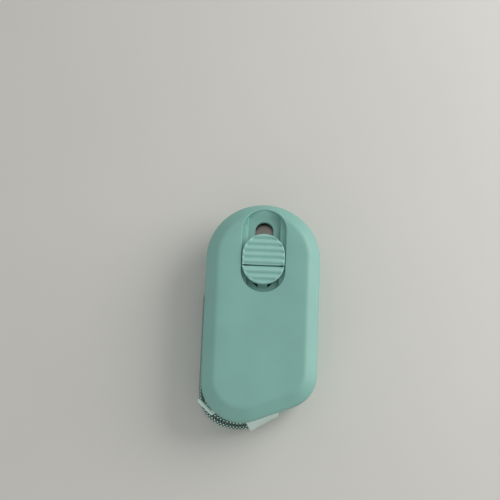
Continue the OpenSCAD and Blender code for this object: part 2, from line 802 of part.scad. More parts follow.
module tape_tab() {
  steps = 16;
  us = [for (k = [0:steps]) tab_left + (tab_right - tab_left) * k / steps];
  outer = [for (u = us) [u, tab_out(u)]];
  inner = [for (k = [steps:-1:0]) [us[k], tab_out(us[k]) + tab_t]];
  color("#dfe9e4") {
    rotate(slant_a + 90)
      translate([0, -slant_at, tab_z])
        linear_extrude(tab_h)
          polygon(concat(outer, inner));
    // clamp that takes the tape's end
    difference() {
      slant_block(
        lead_u - clamp_l / 2, lead_u + clamp_l / 2, tab_out(lead_u) + tab_t - 0.3, seat_inset - free_gap,
        tape_z - 0.4, tape_z + tape_w + 0.4
      );
      slant_block(
        lead_u - run_gap, lead_u + tape_t + run_gap, tab_out(lead_u) + tab_t + 0.1, seat_inset,
        tape_z - run_gap, tape_z + tape_w + run_gap
      );
    }
  }
}

module tape_lead() {
  color("#f2f1ea")
    slant_block(lead_u, lead_u + tape_t, tab_out(lead_u) + tab_t + 0.15, lead_in, tape_z, tape_z + tape_w);
}

module tab_rivets() {
  rivet_r = 0.7;
  dome = 0.25;
  color(steel)
    for (z = [tab_z + tab_h * 0.3, tab_z + tab_h * 0.7])
      at(on_slant(tab_right - 2.4, tab_inset), z)
        rotate([0, 90, slant_a])
          cylinder(r = rivet_r, h = dome);
}

module guide_post() {
  color(steel)
    at(on_slant(guide_u, guide_inset), rear_floor)
      cylinder(r = guide_r, h = tape_z + tape_w - rear_floor);
}

module rewind_lever() {
  color("#e4ebe7")
    difference() {
      union() {
        hull() {
          at(bar_end, lever_z) cylinder(r = bar_t / 2, h = bar_h, $fn = hull_fn);
          at(bar_tip, lever_z) cylinder(r = bar_t / 2, h = bar_h, $fn = hull_fn);
        }
        hull() {
          at(bar_end + [0.5, 0.5], lever_z) cylinder(r = lever_neck_r, h = bar_h, $fn = hull_fn);
          at(pin_at, lever_z) cylinder(r = lever_neck_r, h = bar_h, $fn = hull_fn);
        }
        at(pin_at, lever_z) cylinder(r = eye_r, h = arm_z + arm_t - lever_z);
        hull() {
          at(pin_at, arm_z) cylinder(r = lever_neck_r, h = arm_t, $fn = hull_fn);
          at(brake_at, arm_z) cylinder(r = 1, h = arm_t, $fn = hull_fn);
        }
        at(brake_at, arm_z - 1.1) cylinder(r = peg_r, h = 1.2);
      }
      at(pin_at, lever_z - 1) cylinder(r = lever_pin_r + run_gap, h = arm_z + arm_t - lever_z + 2);
    }
}

module lever_pin() {
  color(steel)
    at(pin_at, lever_z - 3)
      cylinder(r = lever_pin_r, h = arm_z + arm_t + 2.8 - lever_z + 3);
}

// Torsion spring on the lever's pin: close turns and two legs, swept as one tube
module lever_spring() {
  wire = 0.4;
  turns = 3;
  steps = 12 * turns;
  leg = 3.2;
  coil_r = lever_pin_r + 0.35 + wire / 2;
  pitch = wire * 1.12;
  angle = [for (i = [0:steps]) 360 * turns * i / steps];
  coil = [for (i = [0:steps]) [coil_r * cos(angle[i]), coil_r * sin(angle[i]), pitch * turns * i / steps]];
  line = concat([coil[0] + [0, -leg, 0]], coil, [coil[steps] + [0, leg, 0]]);
  sides = concat([[1, 0, 0]], [for (a = angle) [cos(a), sin(a), 0]], [[1, 0, 0]]);
  ups = [for (p = line) [0, 0, 1]];
  color(steel)
    at(pin_at, arm_z + arm_t + wire / 2 + 0.15)
      rotate(lever_a - 180)
        tube(line, sides, ups, wire / 2, 6);
}

module brake_pad() {
  color("#3a3d3f")
    at(brake_at, arm_z - 1.1)
      difference() {
        cylinder(r = pad_r, h = 1);
        translate([0, 0, -1]) cylinder(r = peg_r + run_gap, h = 3);
      }
}

// Crimp that joins the cord's two ends inside the case
module cord_crimp() {
  color(steel)
    at(cord_turn, rear_floor + run_gap)
      rotate(cord_a)
        translate([strand_in, -strand_r[1] - cord_d / 2, 0])
          cube([crimp_t, strand_r[1] - strand_r[0] + cord_d, cord_z + cord_d / 2 - rear_floor]);
}

module lanyard_cord() {
  last = len(cord_route) - 1;
  ways = [for (i = [0:last])
    let (d = cord_route[min(i + 1, last)] - cord_route[max(i - 1, 0)]) d / norm(d)];
  // sideways direction carried along from ring to ring, so that the tube never twists
  function carried(i, side) =
    let (s = side - (side * ways[i]) * ways[i], t = s / norm(s))
    i == last ? [t] : concat([t], carried(i + 1, t));
  sides = carried(0, [0, 0, 1]);
  ups = [for (i = [0:last]) cross(ways[i], sides[i])];
  color("#2f6f62")
    tube(cord_route, sides, ups, cord_d / 2, 8);
}

front_shell();
rear_shell();
case_screws();
blade_slider();
lock_button();
lock_spring();
blade_carriage();
blade();
blade_axle();
blade_washer();
blade_nut();
detent_spring();
tape_reel();
tape_roll();
drum_cover();
mainspring();
reel_axle();
axle_screw();
tape_tab();
tape_lead();
tab_rivets();
guide_post();
rewind_lever();
lever_pin();
lever_spring();
brake_pad();
cord_crimp();
lanyard_cord();
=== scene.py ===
"""Pocket rotary cutter with a spring-return tape: its finished surfaces, materials, cord and stage.

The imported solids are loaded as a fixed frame. Every new piece is a surface worked out with numpy in the same
millimetres as the solids: a grid of rings carried outwards, upwards or along a path. +Y is the blade end and
+Z the front, where the thumb pad is.
"""

import json
from math import acos, atan2, copysign, cos, degrees, pi, radians, sin

import bpy
import numpy as np
from bpy.props import FloatProperty, FloatVectorProperty, IntProperty, PointerProperty
from bpy.types import NodeSocket, Operator, Panel, PropertyGroup, Scene
from mathutils import Matrix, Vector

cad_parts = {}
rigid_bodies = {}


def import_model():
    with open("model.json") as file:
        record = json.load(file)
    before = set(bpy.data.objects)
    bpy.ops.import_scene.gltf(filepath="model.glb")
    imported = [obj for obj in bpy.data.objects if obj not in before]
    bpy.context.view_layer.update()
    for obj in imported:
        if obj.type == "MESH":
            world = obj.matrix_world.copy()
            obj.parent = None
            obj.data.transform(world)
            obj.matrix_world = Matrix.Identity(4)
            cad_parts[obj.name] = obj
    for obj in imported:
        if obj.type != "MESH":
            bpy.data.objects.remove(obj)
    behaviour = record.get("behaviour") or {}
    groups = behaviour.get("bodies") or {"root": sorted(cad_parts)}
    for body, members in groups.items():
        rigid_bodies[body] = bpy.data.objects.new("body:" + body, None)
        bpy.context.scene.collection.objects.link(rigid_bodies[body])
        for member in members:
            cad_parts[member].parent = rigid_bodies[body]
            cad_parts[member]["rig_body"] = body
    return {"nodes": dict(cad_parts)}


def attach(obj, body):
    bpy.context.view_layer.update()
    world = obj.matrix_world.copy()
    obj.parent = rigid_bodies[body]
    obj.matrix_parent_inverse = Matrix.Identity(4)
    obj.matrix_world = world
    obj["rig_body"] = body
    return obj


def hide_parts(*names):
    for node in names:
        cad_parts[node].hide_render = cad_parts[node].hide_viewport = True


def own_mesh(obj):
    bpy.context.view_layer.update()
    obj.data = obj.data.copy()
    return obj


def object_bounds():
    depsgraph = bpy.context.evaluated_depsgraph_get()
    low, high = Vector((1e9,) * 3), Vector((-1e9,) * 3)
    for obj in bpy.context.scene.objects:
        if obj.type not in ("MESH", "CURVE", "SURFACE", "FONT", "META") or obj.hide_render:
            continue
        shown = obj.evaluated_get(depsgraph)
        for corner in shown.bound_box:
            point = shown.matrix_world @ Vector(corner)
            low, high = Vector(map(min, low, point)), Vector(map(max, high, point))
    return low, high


bl_info = {
    "name": "Pocket rotary cutter",
    "version": (1, 0, 0),
    "blender": (4, 5, 0),
    "location": "View3D > Sidebar > Cutter",
    "description": "Builds the case, thumb pad, tape, lever, cord and stage of a pocket rotary cutter",
    "category": "Object",
}

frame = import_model()
solid_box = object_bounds()
MM = 0.001
DONE = {"FINISHED"}


def unit(angles):
    """Unit vectors that point at the given angles."""
    a = np.radians(np.asarray(angles, float))
    return np.stack([np.cos(a), np.sin(a)], -1)


# All sizes below are in millimetres and all angles in degrees.
# Case outline: the blade end's round, two lower corners, and the slanted edge that touches both corners
HEAD, LEFT, RIGHT = np.array([[0.0, 21.15], [-6.4, -27.55], [8.9, -24.15]])
HEAD_R, LEFT_R, RIGHT_R = 22.0, 15.6, 13.1
STEP = RIGHT - LEFT
SLANT_A = 360 + degrees(atan2(STEP[1], STEP[0]) - acos((LEFT_R - RIGHT_R) / np.hypot(*STEP)))
SLANT_N = unit(SLANT_A)
SLANT_U = np.array([-SLANT_N[1], SLANT_N[0]])
SLANT_AT = LEFT @ SLANT_N + LEFT_R

# Front shell: heights, walls, and the greatest inset at which the outline is read
FRONT_LOW, TOP_Z, FRONT_WALL, CORNER_R = 14.25, 20.0, 1.8, 0.35
LEDGE_Z, FLOOR_Z, UNDER_Z = 18.2, 16.6, 15.2
DEEPEST, TABLE_STEP = 12.8, 0.1
# Ceiling: it rises from the wall to a second inset, and is level from there on
CEILING_AT, CEILING_Z = (FRONT_WALL, 5.4), (16.1, 18.2)
# Its border as insets and heights: two curves by first point, pull and last point, the slope between, the flat
SHOULDER, SLOPE = ((0, 16.4), (0, 16.8), (0.5, 17.16)), [[1.3, 17.745], [2.4, 18.549]]
CREST, FLAT = ((3.9, 19.55), (4.6, TOP_Z), (5.8, TOP_Z)), [[7.4, TOP_Z]]
# Rails on the ceiling, right and left alike: middle and half width in X, both ends in Y, low and high
RAILS = ((7.9, 0.7, 6.15, 36.0, 14.0, 15.25), (19.3, 0.45, -15.5, 6.5, 13.0, 15.4))

# Rear shell: its step behind the front shell, the inset of its curve, wall and floor
PART_Z, REAR_STEP, REAR_CURVE, REAR_WALL, REAR_FLOOR, REAR_SOFT = 14.2, 0.5, 6.5, 1.6, 1.6, 0.12
REAR_MIDDLE, BOWL_R = np.array([0.0, -2.0]), 4.0
# Bays cut out of it: for the blade, and two for the lever in the lever's own axes, with their low and high
BLADE_BAY, BLADE_BAY_Z = (-15, 15, HEAD[1] + 4, 47), (13.0, 30)
LEVER_BAYS, LEVER_BAY_Z = ((-1.8, 6.2, -3.04, 2.0), (1.385, 9.385, -8.95, 0.0)), (10.1, 24)

# Thumb recess, the channel and ramp in it, and the slot in its floor
RECESS_W, RECESS_LOW, RECESS_TOP, RAMP_L = 17.0, 7.15, 40.45, 2.6
CHANNEL_W, CHANNEL_LOW, CHANNEL_TOP, CHANNEL_SOFT, DRAFT, TUB_WALL = 12.4, 9.63, 37.97, 0.35, 0.45, 1.4
SLOT_W, SLOT_LOW, SLOT_TOP, SLOT_CORNER = 7.0, 9.75, 36.15, 1.7
MIDDLE = np.array([0.0, 23.8])

# Thumb pad: outline, split, ribs, and the places of the two middle crests
PAD_W, PAD_TOP, PAD_Z, PAD_TOP_Z, BUTTON_LOW, LOCK_TRAVEL = 16.4, 30.25, 18.3, 20.8, 10.15, 1.0
SPLIT_Y, SPLIT_GAP, RIB_PITCH, RIB_DEPTH, RIB_FADE, RIB_POWER = 17.6, 0.45, 2.55, 0.8, 0.85, 1.7
SLIDER_CREST, BUTTON_CREST, SPLIT_SOFT, PAD_LAP = 19.42, 15.72, 0.25, 0.1
# Under the slider's pad: foot as (width, both ends), stem's half width and corner, post's middle and radius
FOOT, STEM, POST, POST_R = (6.6, 15.35, 27.25), (3.3, 3.2), np.array([0, 18.65]), 1.4
FOOT_Z, POST_LOW = (15.0, 16.7), 13.8
# The lock button's core, stem, tongue in the slot and foot: half width, both ends in Y, corner, low and high
LOCK_PARTS = (
    (5.7, 12.2, SPLIT_Y - SPLIT_GAP / 2, 0.6, 17.9, 19.35),
    (2.2, 11.6, 12.95, 0.2, 14.0, 18.6),
    (1.9, SLOT_LOW + 0.15, 12.95, 0.2, 14.0, 15.9),
    (2.2, 11.5, 12.95, 0.2, 13.9, 15.0),
    (5.0, 12.45, 12.95, 0.2, 13.9, 15.0),
)

# Blade
BLADE_Y, BLADE_Z, BLADE_T, BLADE_R, BORE_R, BEVEL_R, BEVEL_TIP = 27.4, 13.3, 0.3, 14.0, 3.0, 12.5, 0.02

# Tape, its seat in the rear shell, and the pull tab with its bend and its lean along and across the slant
REEL = np.array([2.5, -19.056])
LEAD_U, TAPE_T, TAPE_Z, TAPE_W, MOUTH_GAP = -17.84, 0.25, 4.7, 7.0, 0.35
SEAT_INSET, SEAT_WALL, SEAT_LEFT, SEAT_RIGHT, SEAT_FOOT = 2.2, 1.6, -20.74, -6.14, 4.62
TAB_LEFT, TAB_RIGHT, TAB_Z, TAB_H, TAB_T, TAB_INSET, TAB_FLARE = -19.84, -6.4, 3.6, 9.2, 1.3, 0.6, 2.0
TAB_SOFT, TAB_CORNER, TAB_BEND, TAB_LEAN, TAB_TOP_LEAN = 0.45, 0.35, 1.2, 1.2, 0.85
# Clamp for the tape's end on the tab: reach along the slant, gap to the tape, both insets, rise past the tape
CLAMP_REACH, CLAMP_GAP, CLAMP_IN, CLAMP_RISE = 1.2, 0.05, (0.9, 1.9), 0.4

# Rewind lever, its pin and its brake
PIN_AT, PIN_R, LEVER_A = np.array([-14.372, -36.25]), 0.65, 227.5
BAR_END, BAR_TIP, BAR_T, BAR_Z, BAR_H = np.array([-17.6, -39.15]), np.array([-22.4, -34.6]), 1.25, 10.4, 1.8
BRAKE_AT, ARM_Z, ARM_T, NECK_R = np.array([-4.26, -33.56]), 13.0, 0.8, 1.1
# Radii of the eye, the neck at the bar, the arm's end and the brake's peg, and how far the peg reaches down
EYE_R, NECK_END_R, ARM_END_R, PEG_R, PEG_L = 1.5, 0.75, 1.0, 0.7, 1.1

# Screws: places, the bosses' joint, boss radius, bores of thread and head, and how far the heads lie in
SCREWS = np.array([[-11.0, 4.0], [11.0, 4.0], [-13.0, -30.5]])
JOINT_Z, BOSS_R, THREAD_R, HEAD_BORE_R, HEAD_IN, REEL_HEAD_IN = 11.5, 2.6, 1.15, 2.05, 2.5, 2.25
# Bore for the reel's axle, and the radius and top of its seat on the floor
AXLE_BORE_R, SEAT_R, SEAT_TOP = 2.45, 4.0, 3.3
# Tubes inside the shells: outer radius, bore, low, high and steps round
SCREW_TUBE, AXLE_TUBE = (BOSS_R, 1.05, JOINT_Z, 18.1, 48), (3.7, AXLE_BORE_R, 17.9, 18.5, 48)
PIN_TUBE, REAR_PIN_TUBE = (1.7, PIN_R, 16.0, 17.3, 32), (2.0, PIN_R, 4.9, 10.1, 36)

# Lanyard cord: thickness, the turn of its two holes, its strands, and the same route as the solid's
CORD_D, CORD_TURN, CORD_Z, CORD_A, STRAND_R = 1.5, np.array([-5.5, -37.4]), 2.4, 45.0, (3.0, 4.8)
CORD_STRANDS, CORD_COLUMNS, CORD_STEP, CORD_BLUR, CORD_SINK = 3, 30, 0.13, 1.3, 0.03
CORD_ROUTE = np.array([
    [6.5, -32.2, 2.4], [0.7, -38, 2.4], [-0.8, -39.5, 2.2], [-2.2, -40.8, 1.7], [-3.6, -41.8, 1.2],
    [-5.5, -42.2, 0.9], [-8.5, -42.2, 0.8], [-11.6, -41.7, 0.8], [-14.6, -40.7, 0.8], [-17.4, -39, 0.8],
    [-19.8, -36.6, 0.8], [-21.4, -33.6, 0.8], [-22.2, -30.3, 0.8], [-22.3, -27, 0.8], [-22.3, -12, 0.8],
    [-22.3, 3, 0.8], [-22.3, 6.1, 0.9], [-22.2, 8.5, 2], [-21.9, 9.5, 4.3], [-21.7, 8.5, 6.6],
    [-21.5, 6.1, 7.6], [-21.4, 3, 7.1], [-21.1, -3, 4.6], [-20.8, -8, 2.2], [-20.5, -12, 1.1],
    [-20.5, -16, 0.8], [-20.5, -27, 0.8], [-20.4, -30, 0.8], [-19.7, -32.9, 0.8], [-18.3, -35.6, 0.8],
    [-16.2, -37.7, 0.8], [-13.7, -39.2, 0.8], [-10.9, -40.1, 0.8], [-8.1, -40.5, 1], [-5.2, -40.6, 1.7],
    [-3.4, -39.7, 2.3], [-2, -38.1, 2.4], [5.2, -30.9, 2.4],
])

# Stage: the point the camera aims at, the sensor, and the floor's half width, drop under the solids and thickness
AIM, SENSOR, FLOOR_HALF, FLOOR_DROP, FLOOR_T = np.array([-5.29, 25.16, 15.0]), 36, 1600, 0.02, 5
# Each lamp's place and width in metres, its share of the key lamp's power, and its colour
LAMPS = {
    "key_lamp": ((0.40, 0.20, 0.24), 0.5, 1.0, (1.0, 0.99, 0.97)),
    "front_fill_lamp": ((-0.2, -0.42, 0.2), 0.3, 0.085, (0.97, 0.99, 1.0)),
}


# ---- values a user would change ----

def linear(red, green, blue):
    """Scene colour of a display colour given from 0 to 255: the display curve undone, channel by channel."""
    c = np.array([red, green, blue]) / 255
    return tuple(float(x) for x in np.where(c <= 0.04045, c / 12.92, ((c + 0.055) / 1.055) ** 2.4))


def number(name, description, default, low, high, subtype="NONE"):
    """A number between two limits."""
    return FloatProperty(name=name, description=description, default=default, min=low, max=high, subtype=subtype)


def tone(name, description, colour):
    """A colour, given as a display colour."""
    return FloatVectorProperty(name=name, description=description, subtype="COLOR", size=3, default=linear(*colour))


class CutterCase(PropertyGroup):
    """Case, thumb pad, tab and lever."""
    around: IntProperty(
        name="Steps around", description="Columns of the case's grids", default=720, min=120, max=1440)
    rim_soft: number("Rim softening", "Rounding of the recess's rim in millimetres", 0.4, 0.1, 0.8)
    pad_soft: number("Pad edge", "Rounding of the thumb pad's edge in millimetres", 0.55, 0.1, 1.0)
    colour: tone("Case plastic", "Colour of the moulded case", (128, 178, 167))
    pad_colour: tone("Pad plastic", "Colour of the thumb pad", (150, 199, 189))
    pale_colour: tone("Pale plastic", "Colour of the pull tab", (205, 228, 220))
    # The lever is the same pale plastic as the tab but is given a lighter colour; the extra lightness is painted
    # light that stands in for light not reaching it under the case's edge
    lit_lever_colour: tone("Lever plastic", "Colour of the rewind lever", (222, 250, 240))


class CutterCord(PropertyGroup):
    """Lanyard cord."""
    stitch: number("Strand pitch", "Distance between two braid stitches in millimetres", 1.3, 0.6, 3.0)
    relief: number("Strand relief", "Height of a strand over the braid in millimetres", 0.09, 0.0, 0.15)
    dark: tone("Dark strands", "Colour of the dark strands", (16, 92, 77))
    # Highlight colour: painted on the crest of each stitch, where the two strand families cross, to stand in for
    # the glints of the shiny yarn
    bright: tone("Bright strands", "Colour of the bright strands", (244, 254, 250))


class CutterStage(PropertyGroup):
    """Camera, lamps and floor."""
    elevation: number(
        "Camera elevation", "Height of the view over the table", radians(73.3), 0, pi / 2, "ANGLE")
    roll: number("Camera roll", "Turn of the picture", radians(2.2), -0.2, 0.2, "ANGLE")
    distance: number(
        "Camera distance", "From the camera to the point it aims at", 0.741, 0.2, 2, "DISTANCE")
    lens: number("Lens", "Focal length on a 36 mm sensor", 137.16, 50, 250, "DISTANCE_CAMERA")
    key: number("Key lamp", "Power of the key lamp", 1.9, 0, 50, "POWER")
    fill: number("Sky", "Strength of the surroundings", 0.48, 0, 2)
    floor: tone("Floor", "Colour of the floor", (214, 212, 206))


# ---- lines and plans ----

def circle(centre, radius, step):
    """Points of a circle, one every step of degrees."""
    return centre + radius * unit(np.arange(0, 360, step))


def lengths(line):
    """Length along a line of points to each of them."""
    return np.concatenate([[0], np.cumsum(np.linalg.norm(np.diff(line, axis=0), axis=1))])


def directions(line):
    """Unit vectors along a line of points."""
    ways = np.gradient(line, axis=0)
    return ways / np.linalg.norm(ways, axis=1)[:, None]


def raised(plan, height):
    """Points of a plan with heights added."""
    height = np.broadcast_to(np.asarray(height, float), plan.shape[:-1])
    return np.concatenate([plan, height[..., None]], -1)


def dense(line, count=3000):
    """A closed line of points spaced evenly along its own length."""
    ends = np.vstack([line, line[:1]])
    along = lengths(ends)
    keep = np.concatenate([[True], np.diff(along) > 1e-9])
    at = np.linspace(0, along[-1], count, endpoint=False)
    return np.stack([np.interp(at, along[keep], ends[keep, k]) for k in (0, 1)], -1)


def case_line(inset=0.0):
    """The case's outline moved inwards: three arcs about fixed centres, joined by their common tangents."""
    arcs = ((HEAD, HEAD_R, 0, 180), (LEFT, LEFT_R, 180, SLANT_A), (RIGHT, RIGHT_R, SLANT_A, 360))
    return dense(np.vstack([c + (r - inset) * unit(np.linspace(a0, a1, 240)) for c, r, a0, a1 in arcs]))


def stadium_plan(a, b, r_a, r_b, steps=18):
    """Outline round two circles: half of each circle's rim, joined by straight sides."""
    way = degrees(atan2(*(b - a)[::-1]))
    return np.vstack([b + r_b * unit(np.linspace(way - 90, way + 90, steps)),
                      a + r_a * unit(np.linspace(way + 90, way + 270, steps))])


def obround_plan(width, low, top, steps=20):
    """Upright outline about X = 0: two half circles joined by straight sides."""
    r = width / 2
    return stadium_plan(np.array([0, low + r]), np.array([0, top - r]), r, r, steps)


def slot_line():
    """The floor slot: a half circle above, straight sides, two cut-off corners below."""
    r = SLOT_W / 2
    upper = np.array([0, SLOT_TOP - r]) + r * unit(np.linspace(0, 180, 120))
    cut_x, cut_y = r - SLOT_CORNER, SLOT_LOW + SLOT_CORNER
    return dense(np.vstack([upper, [[-r, cut_y], [-cut_x, SLOT_LOW], [cut_x, SLOT_LOW], [r, cut_y]]]))


def reach(line, angles, middle=MIDDLE):
    """Distance from a middle point to a closed line round it, at each angle in degrees."""
    d = line - middle
    return np.interp(angles, np.degrees(np.arctan2(d[:, 1], d[:, 0])), np.hypot(*d.T), period=360)


def depth(points):
    """How far each point lies inside the case's outline, up to the deepest inset that is read."""
    return np.minimum(np.hypot(*(points[:, None] - case_line()).T).min(0), DEEPEST)


def curve(first, pull, last, steps):
    """Quadratic curve between two points that is pulled towards a third, as rows of points."""
    t = np.linspace(0, 1, steps)[:, None]
    return (1 - t) ** 2 * np.array(first) + 2 * t * (1 - t) * np.array(pull) + t ** 2 * np.array(last)


def box_plan(x0, x1, y0, y1, r=0.001, steps=4):
    """Rectangle with rounded corners."""
    corners = ((x1 - r, y1 - r, 0), (x0 + r, y1 - r, 90), (x0 + r, y0 + r, 180), (x1 - r, y0 + r, 270))
    return np.vstack([np.array([x, y]) + r * unit(np.linspace(a, a + 90, steps)) for x, y, a in corners])


def on_slant(u, inset):
    """Place along the slanted edge and inwards from it."""
    u, inset = np.broadcast_arrays(np.asarray(u, float), np.asarray(inset, float))
    return u[..., None] * SLANT_U + (SLANT_AT - inset[..., None]) * SLANT_N


def slant_plan(u0, u1, in0, in1):
    """Rectangle laid along the slanted edge."""
    return on_slant([u0, u1, u1, u0], [in0, in0, in1, in1])


def lever_plan(x0, x1, y0, y1):
    """Rectangle in the lever's own axes: X from its pin outwards along its neck."""
    x, y = unit(LEVER_A), unit(LEVER_A + 90)
    return PIN_AT + np.array([x0, x1, x1, x0])[:, None] * x + np.array([y0, y0, y1, y1])[:, None] * y


# ---- grids and meshes ----

def carried(path, side, up, across, upright):
    """Grid of a section carried along a path: across and upright are rows of the section's own coordinates."""
    return path[:, None] + side[:, None] * across[..., None] + up[:, None] * upright[..., None]


class Rings:
    """Rings about a middle point, each with its own radius and height at every angle, gathered in order."""

    def __init__(self, angles, middle=MIDDLE):
        self.ways, self.middle, self.radii, self.heights = unit(angles), middle, [], []

    def add(self, *rings):
        """Adds rings given as radius and height, each one number or one for every angle."""
        level = np.zeros(len(self.ways))
        for radius, height in rings:
            self.radii.append(level + radius)
            self.heights.append(level + height)

    def points(self):
        return raised(self.middle + np.array(self.radii)[..., None] * self.ways, self.heights)


class Surface:
    """Closed surfaces gathered as arrays, in millimetres, until they become one mesh."""

    def __init__(self):
        self.vertices, self.quads, self.triangles, self.count = [], [], [], 0

    def grid(self, points, wrap=False):
        """Adds a grid of rings. Rows wrap round, or end in a pole at the middle of the first and last ring."""
        rows, columns = points.shape[:2]
        j = np.arange(columns)
        i, j2 = np.arange(rows if wrap else rows - 1)[:, None] * columns, (j + 1) % columns
        i2 = (i + columns) % (rows * columns)
        quads = np.stack([i + j, i + j2, i2 + j2, i2 + j], -1).reshape(-1, 4)
        flat, triangles = points.reshape(-1, 3), np.zeros((0, 3), int)
        if not wrap:
            flat = np.vstack([flat, points[0].mean(0), points[-1].mean(0)])
            pole, last = np.full(columns, rows * columns), (rows - 1) * columns
            triangles = np.vstack([np.stack([pole, j2, j], -1), np.stack([pole + 1, last + j, last + j2], -1)])
        corners = np.vstack([quads[:, [0, 1, 2]], quads[:, [0, 2, 3]], triangles])
        a, b, c = (flat[corners[:, k]] for k in range(3))
        if np.einsum("ij,ij->i", a, np.cross(b, c)).sum() < 0:
            quads, triangles = quads[:, ::-1], triangles[:, ::-1]
        self.vertices.append(flat)
        self.quads.append(quads + self.count)
        self.triangles.append(triangles + self.count)
        self.count += len(flat)
        return self

    def prism(self, plan, low, high, soft=0.0, steps=3):
        """Adds a closed plan carried upwards, its two rims rounded by moving the plan in along its normals."""
        along = np.roll(plan, -1, 0) - np.roll(plan, 1, 0)
        out = np.stack([along[:, 1], -along[:, 0]], -1) / np.hypot(*along.T)[:, None]
        area = np.sum(plan[:, 0] * np.roll(plan[:, 1], -1) - plan[:, 1] * np.roll(plan[:, 0], -1))
        out = out * np.sign(area)
        a = np.linspace(0, pi / 2, steps + 1) if soft else np.array([pi / 2])
        inset, rise = soft * (1 - np.sin(a)), soft * (1 - np.cos(a))
        inset, z = np.concatenate([inset, inset[::-1]]), np.concatenate([low + rise, (high - rise)[::-1]])
        return self.grid(raised(plan - inset[:, None, None] * out, z[:, None]))

    def lathe(self, centre, profile, steps=96):
        """Adds a closed profile of (radius, height) turned about an upright axis."""
        spin = Rings(np.arange(steps) * 360 / steps, centre)
        spin.add(*profile)
        return self.grid(spin.points(), wrap=True)

    def tube(self, centre, outer, bore, low, high, steps=48):
        """Adds an upright tube."""
        return self.lathe(centre, [(outer, low), (outer, high), (bore, high), (bore, low)], steps)

    def mesh(self, name, sharp=35.0):
        """Writes the arrays into a mesh object in metres, smooth except where faces meet at a sharp angle."""
        mesh = bpy.data.meshes.new(name)
        faces = np.vstack(self.quads).tolist() + np.vstack(self.triangles).tolist()
        mesh.from_pydata(np.vstack(self.vertices) * MM, [], faces)
        mesh.validate()
        smooth(mesh, sharp)
        return placed(name, mesh)


def placed(name, data):
    """A new object in the scene."""
    piece = bpy.data.objects.new(name, data)
    bpy.context.scene.collection.objects.link(piece)
    return piece


def smooth(mesh, sharp):
    """Smooth shading, apart from edges whose faces meet at more than the sharp angle."""
    mesh.shade_smooth()
    mesh.set_sharp_from_angle(angle=radians(sharp))


def settled(piece):
    """Mesh of a piece as its modifiers leave it."""
    bpy.context.view_layer.update()
    return bpy.data.meshes.new_from_object(piece.evaluated_get(bpy.context.evaluated_depsgraph_get()))


def cut(piece, cutter):
    """Takes one closed surface out of another with an exact boolean, and removes the cutter."""
    modifier = piece.modifiers.new("cut", "BOOLEAN")
    modifier.operation, modifier.solver, modifier.object = "DIFFERENCE", "EXACT", cutter
    mesh = settled(piece)
    piece.modifiers.remove(modifier)
    old, piece.data = piece.data, mesh
    bpy.data.meshes.remove(old)
    bpy.data.objects.remove(cutter)


def stand(piece, node, hide=True):
    """Rides a piece on the body of the solid it belongs to, in its place, and hides that solid unless told not to.
    """
    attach(piece, frame["nodes"][node]["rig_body"])
    if hide:
        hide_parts(node)
    return piece


def softened(node, name, width):
    """A merged copy of a solid with its hard edges bevelled; it stands for that solid and rides with it."""
    piece = placed(name, frame["nodes"][node].data.copy())
    piece.data.materials.clear()
    weld = piece.modifiers.new("merge", "WELD")
    weld.merge_threshold = 1e-6
    flatten = piece.modifiers.new("flatten", "DECIMATE")
    flatten.decimate_type, flatten.angle_limit = "DISSOLVE", radians(1)
    bevel = piece.modifiers.new("edges", "BEVEL")
    bevel.width, bevel.segments = width * MM, 2
    bevel.limit_method, bevel.angle_limit = "ANGLE", radians(40)
    mesh = settled(piece)
    piece.modifiers.clear()
    piece.data = mesh
    smooth(mesh, 30)
    return stand(piece, node)


# ---- materials ----

def node_in(tree, kind, inputs=(), **values):
    """Adds a node with its properties, and sets its inputs, or links those that are given as sockets."""
    node = tree.nodes.new(kind)
    for key, value in values.items():
        setattr(node, key, value)
    for key, value in dict(inputs).items():
        if isinstance(value, NodeSocket):
            tree.links.new(value, node.inputs[key])
        else:
            node.inputs[key].default_value = value
    return node


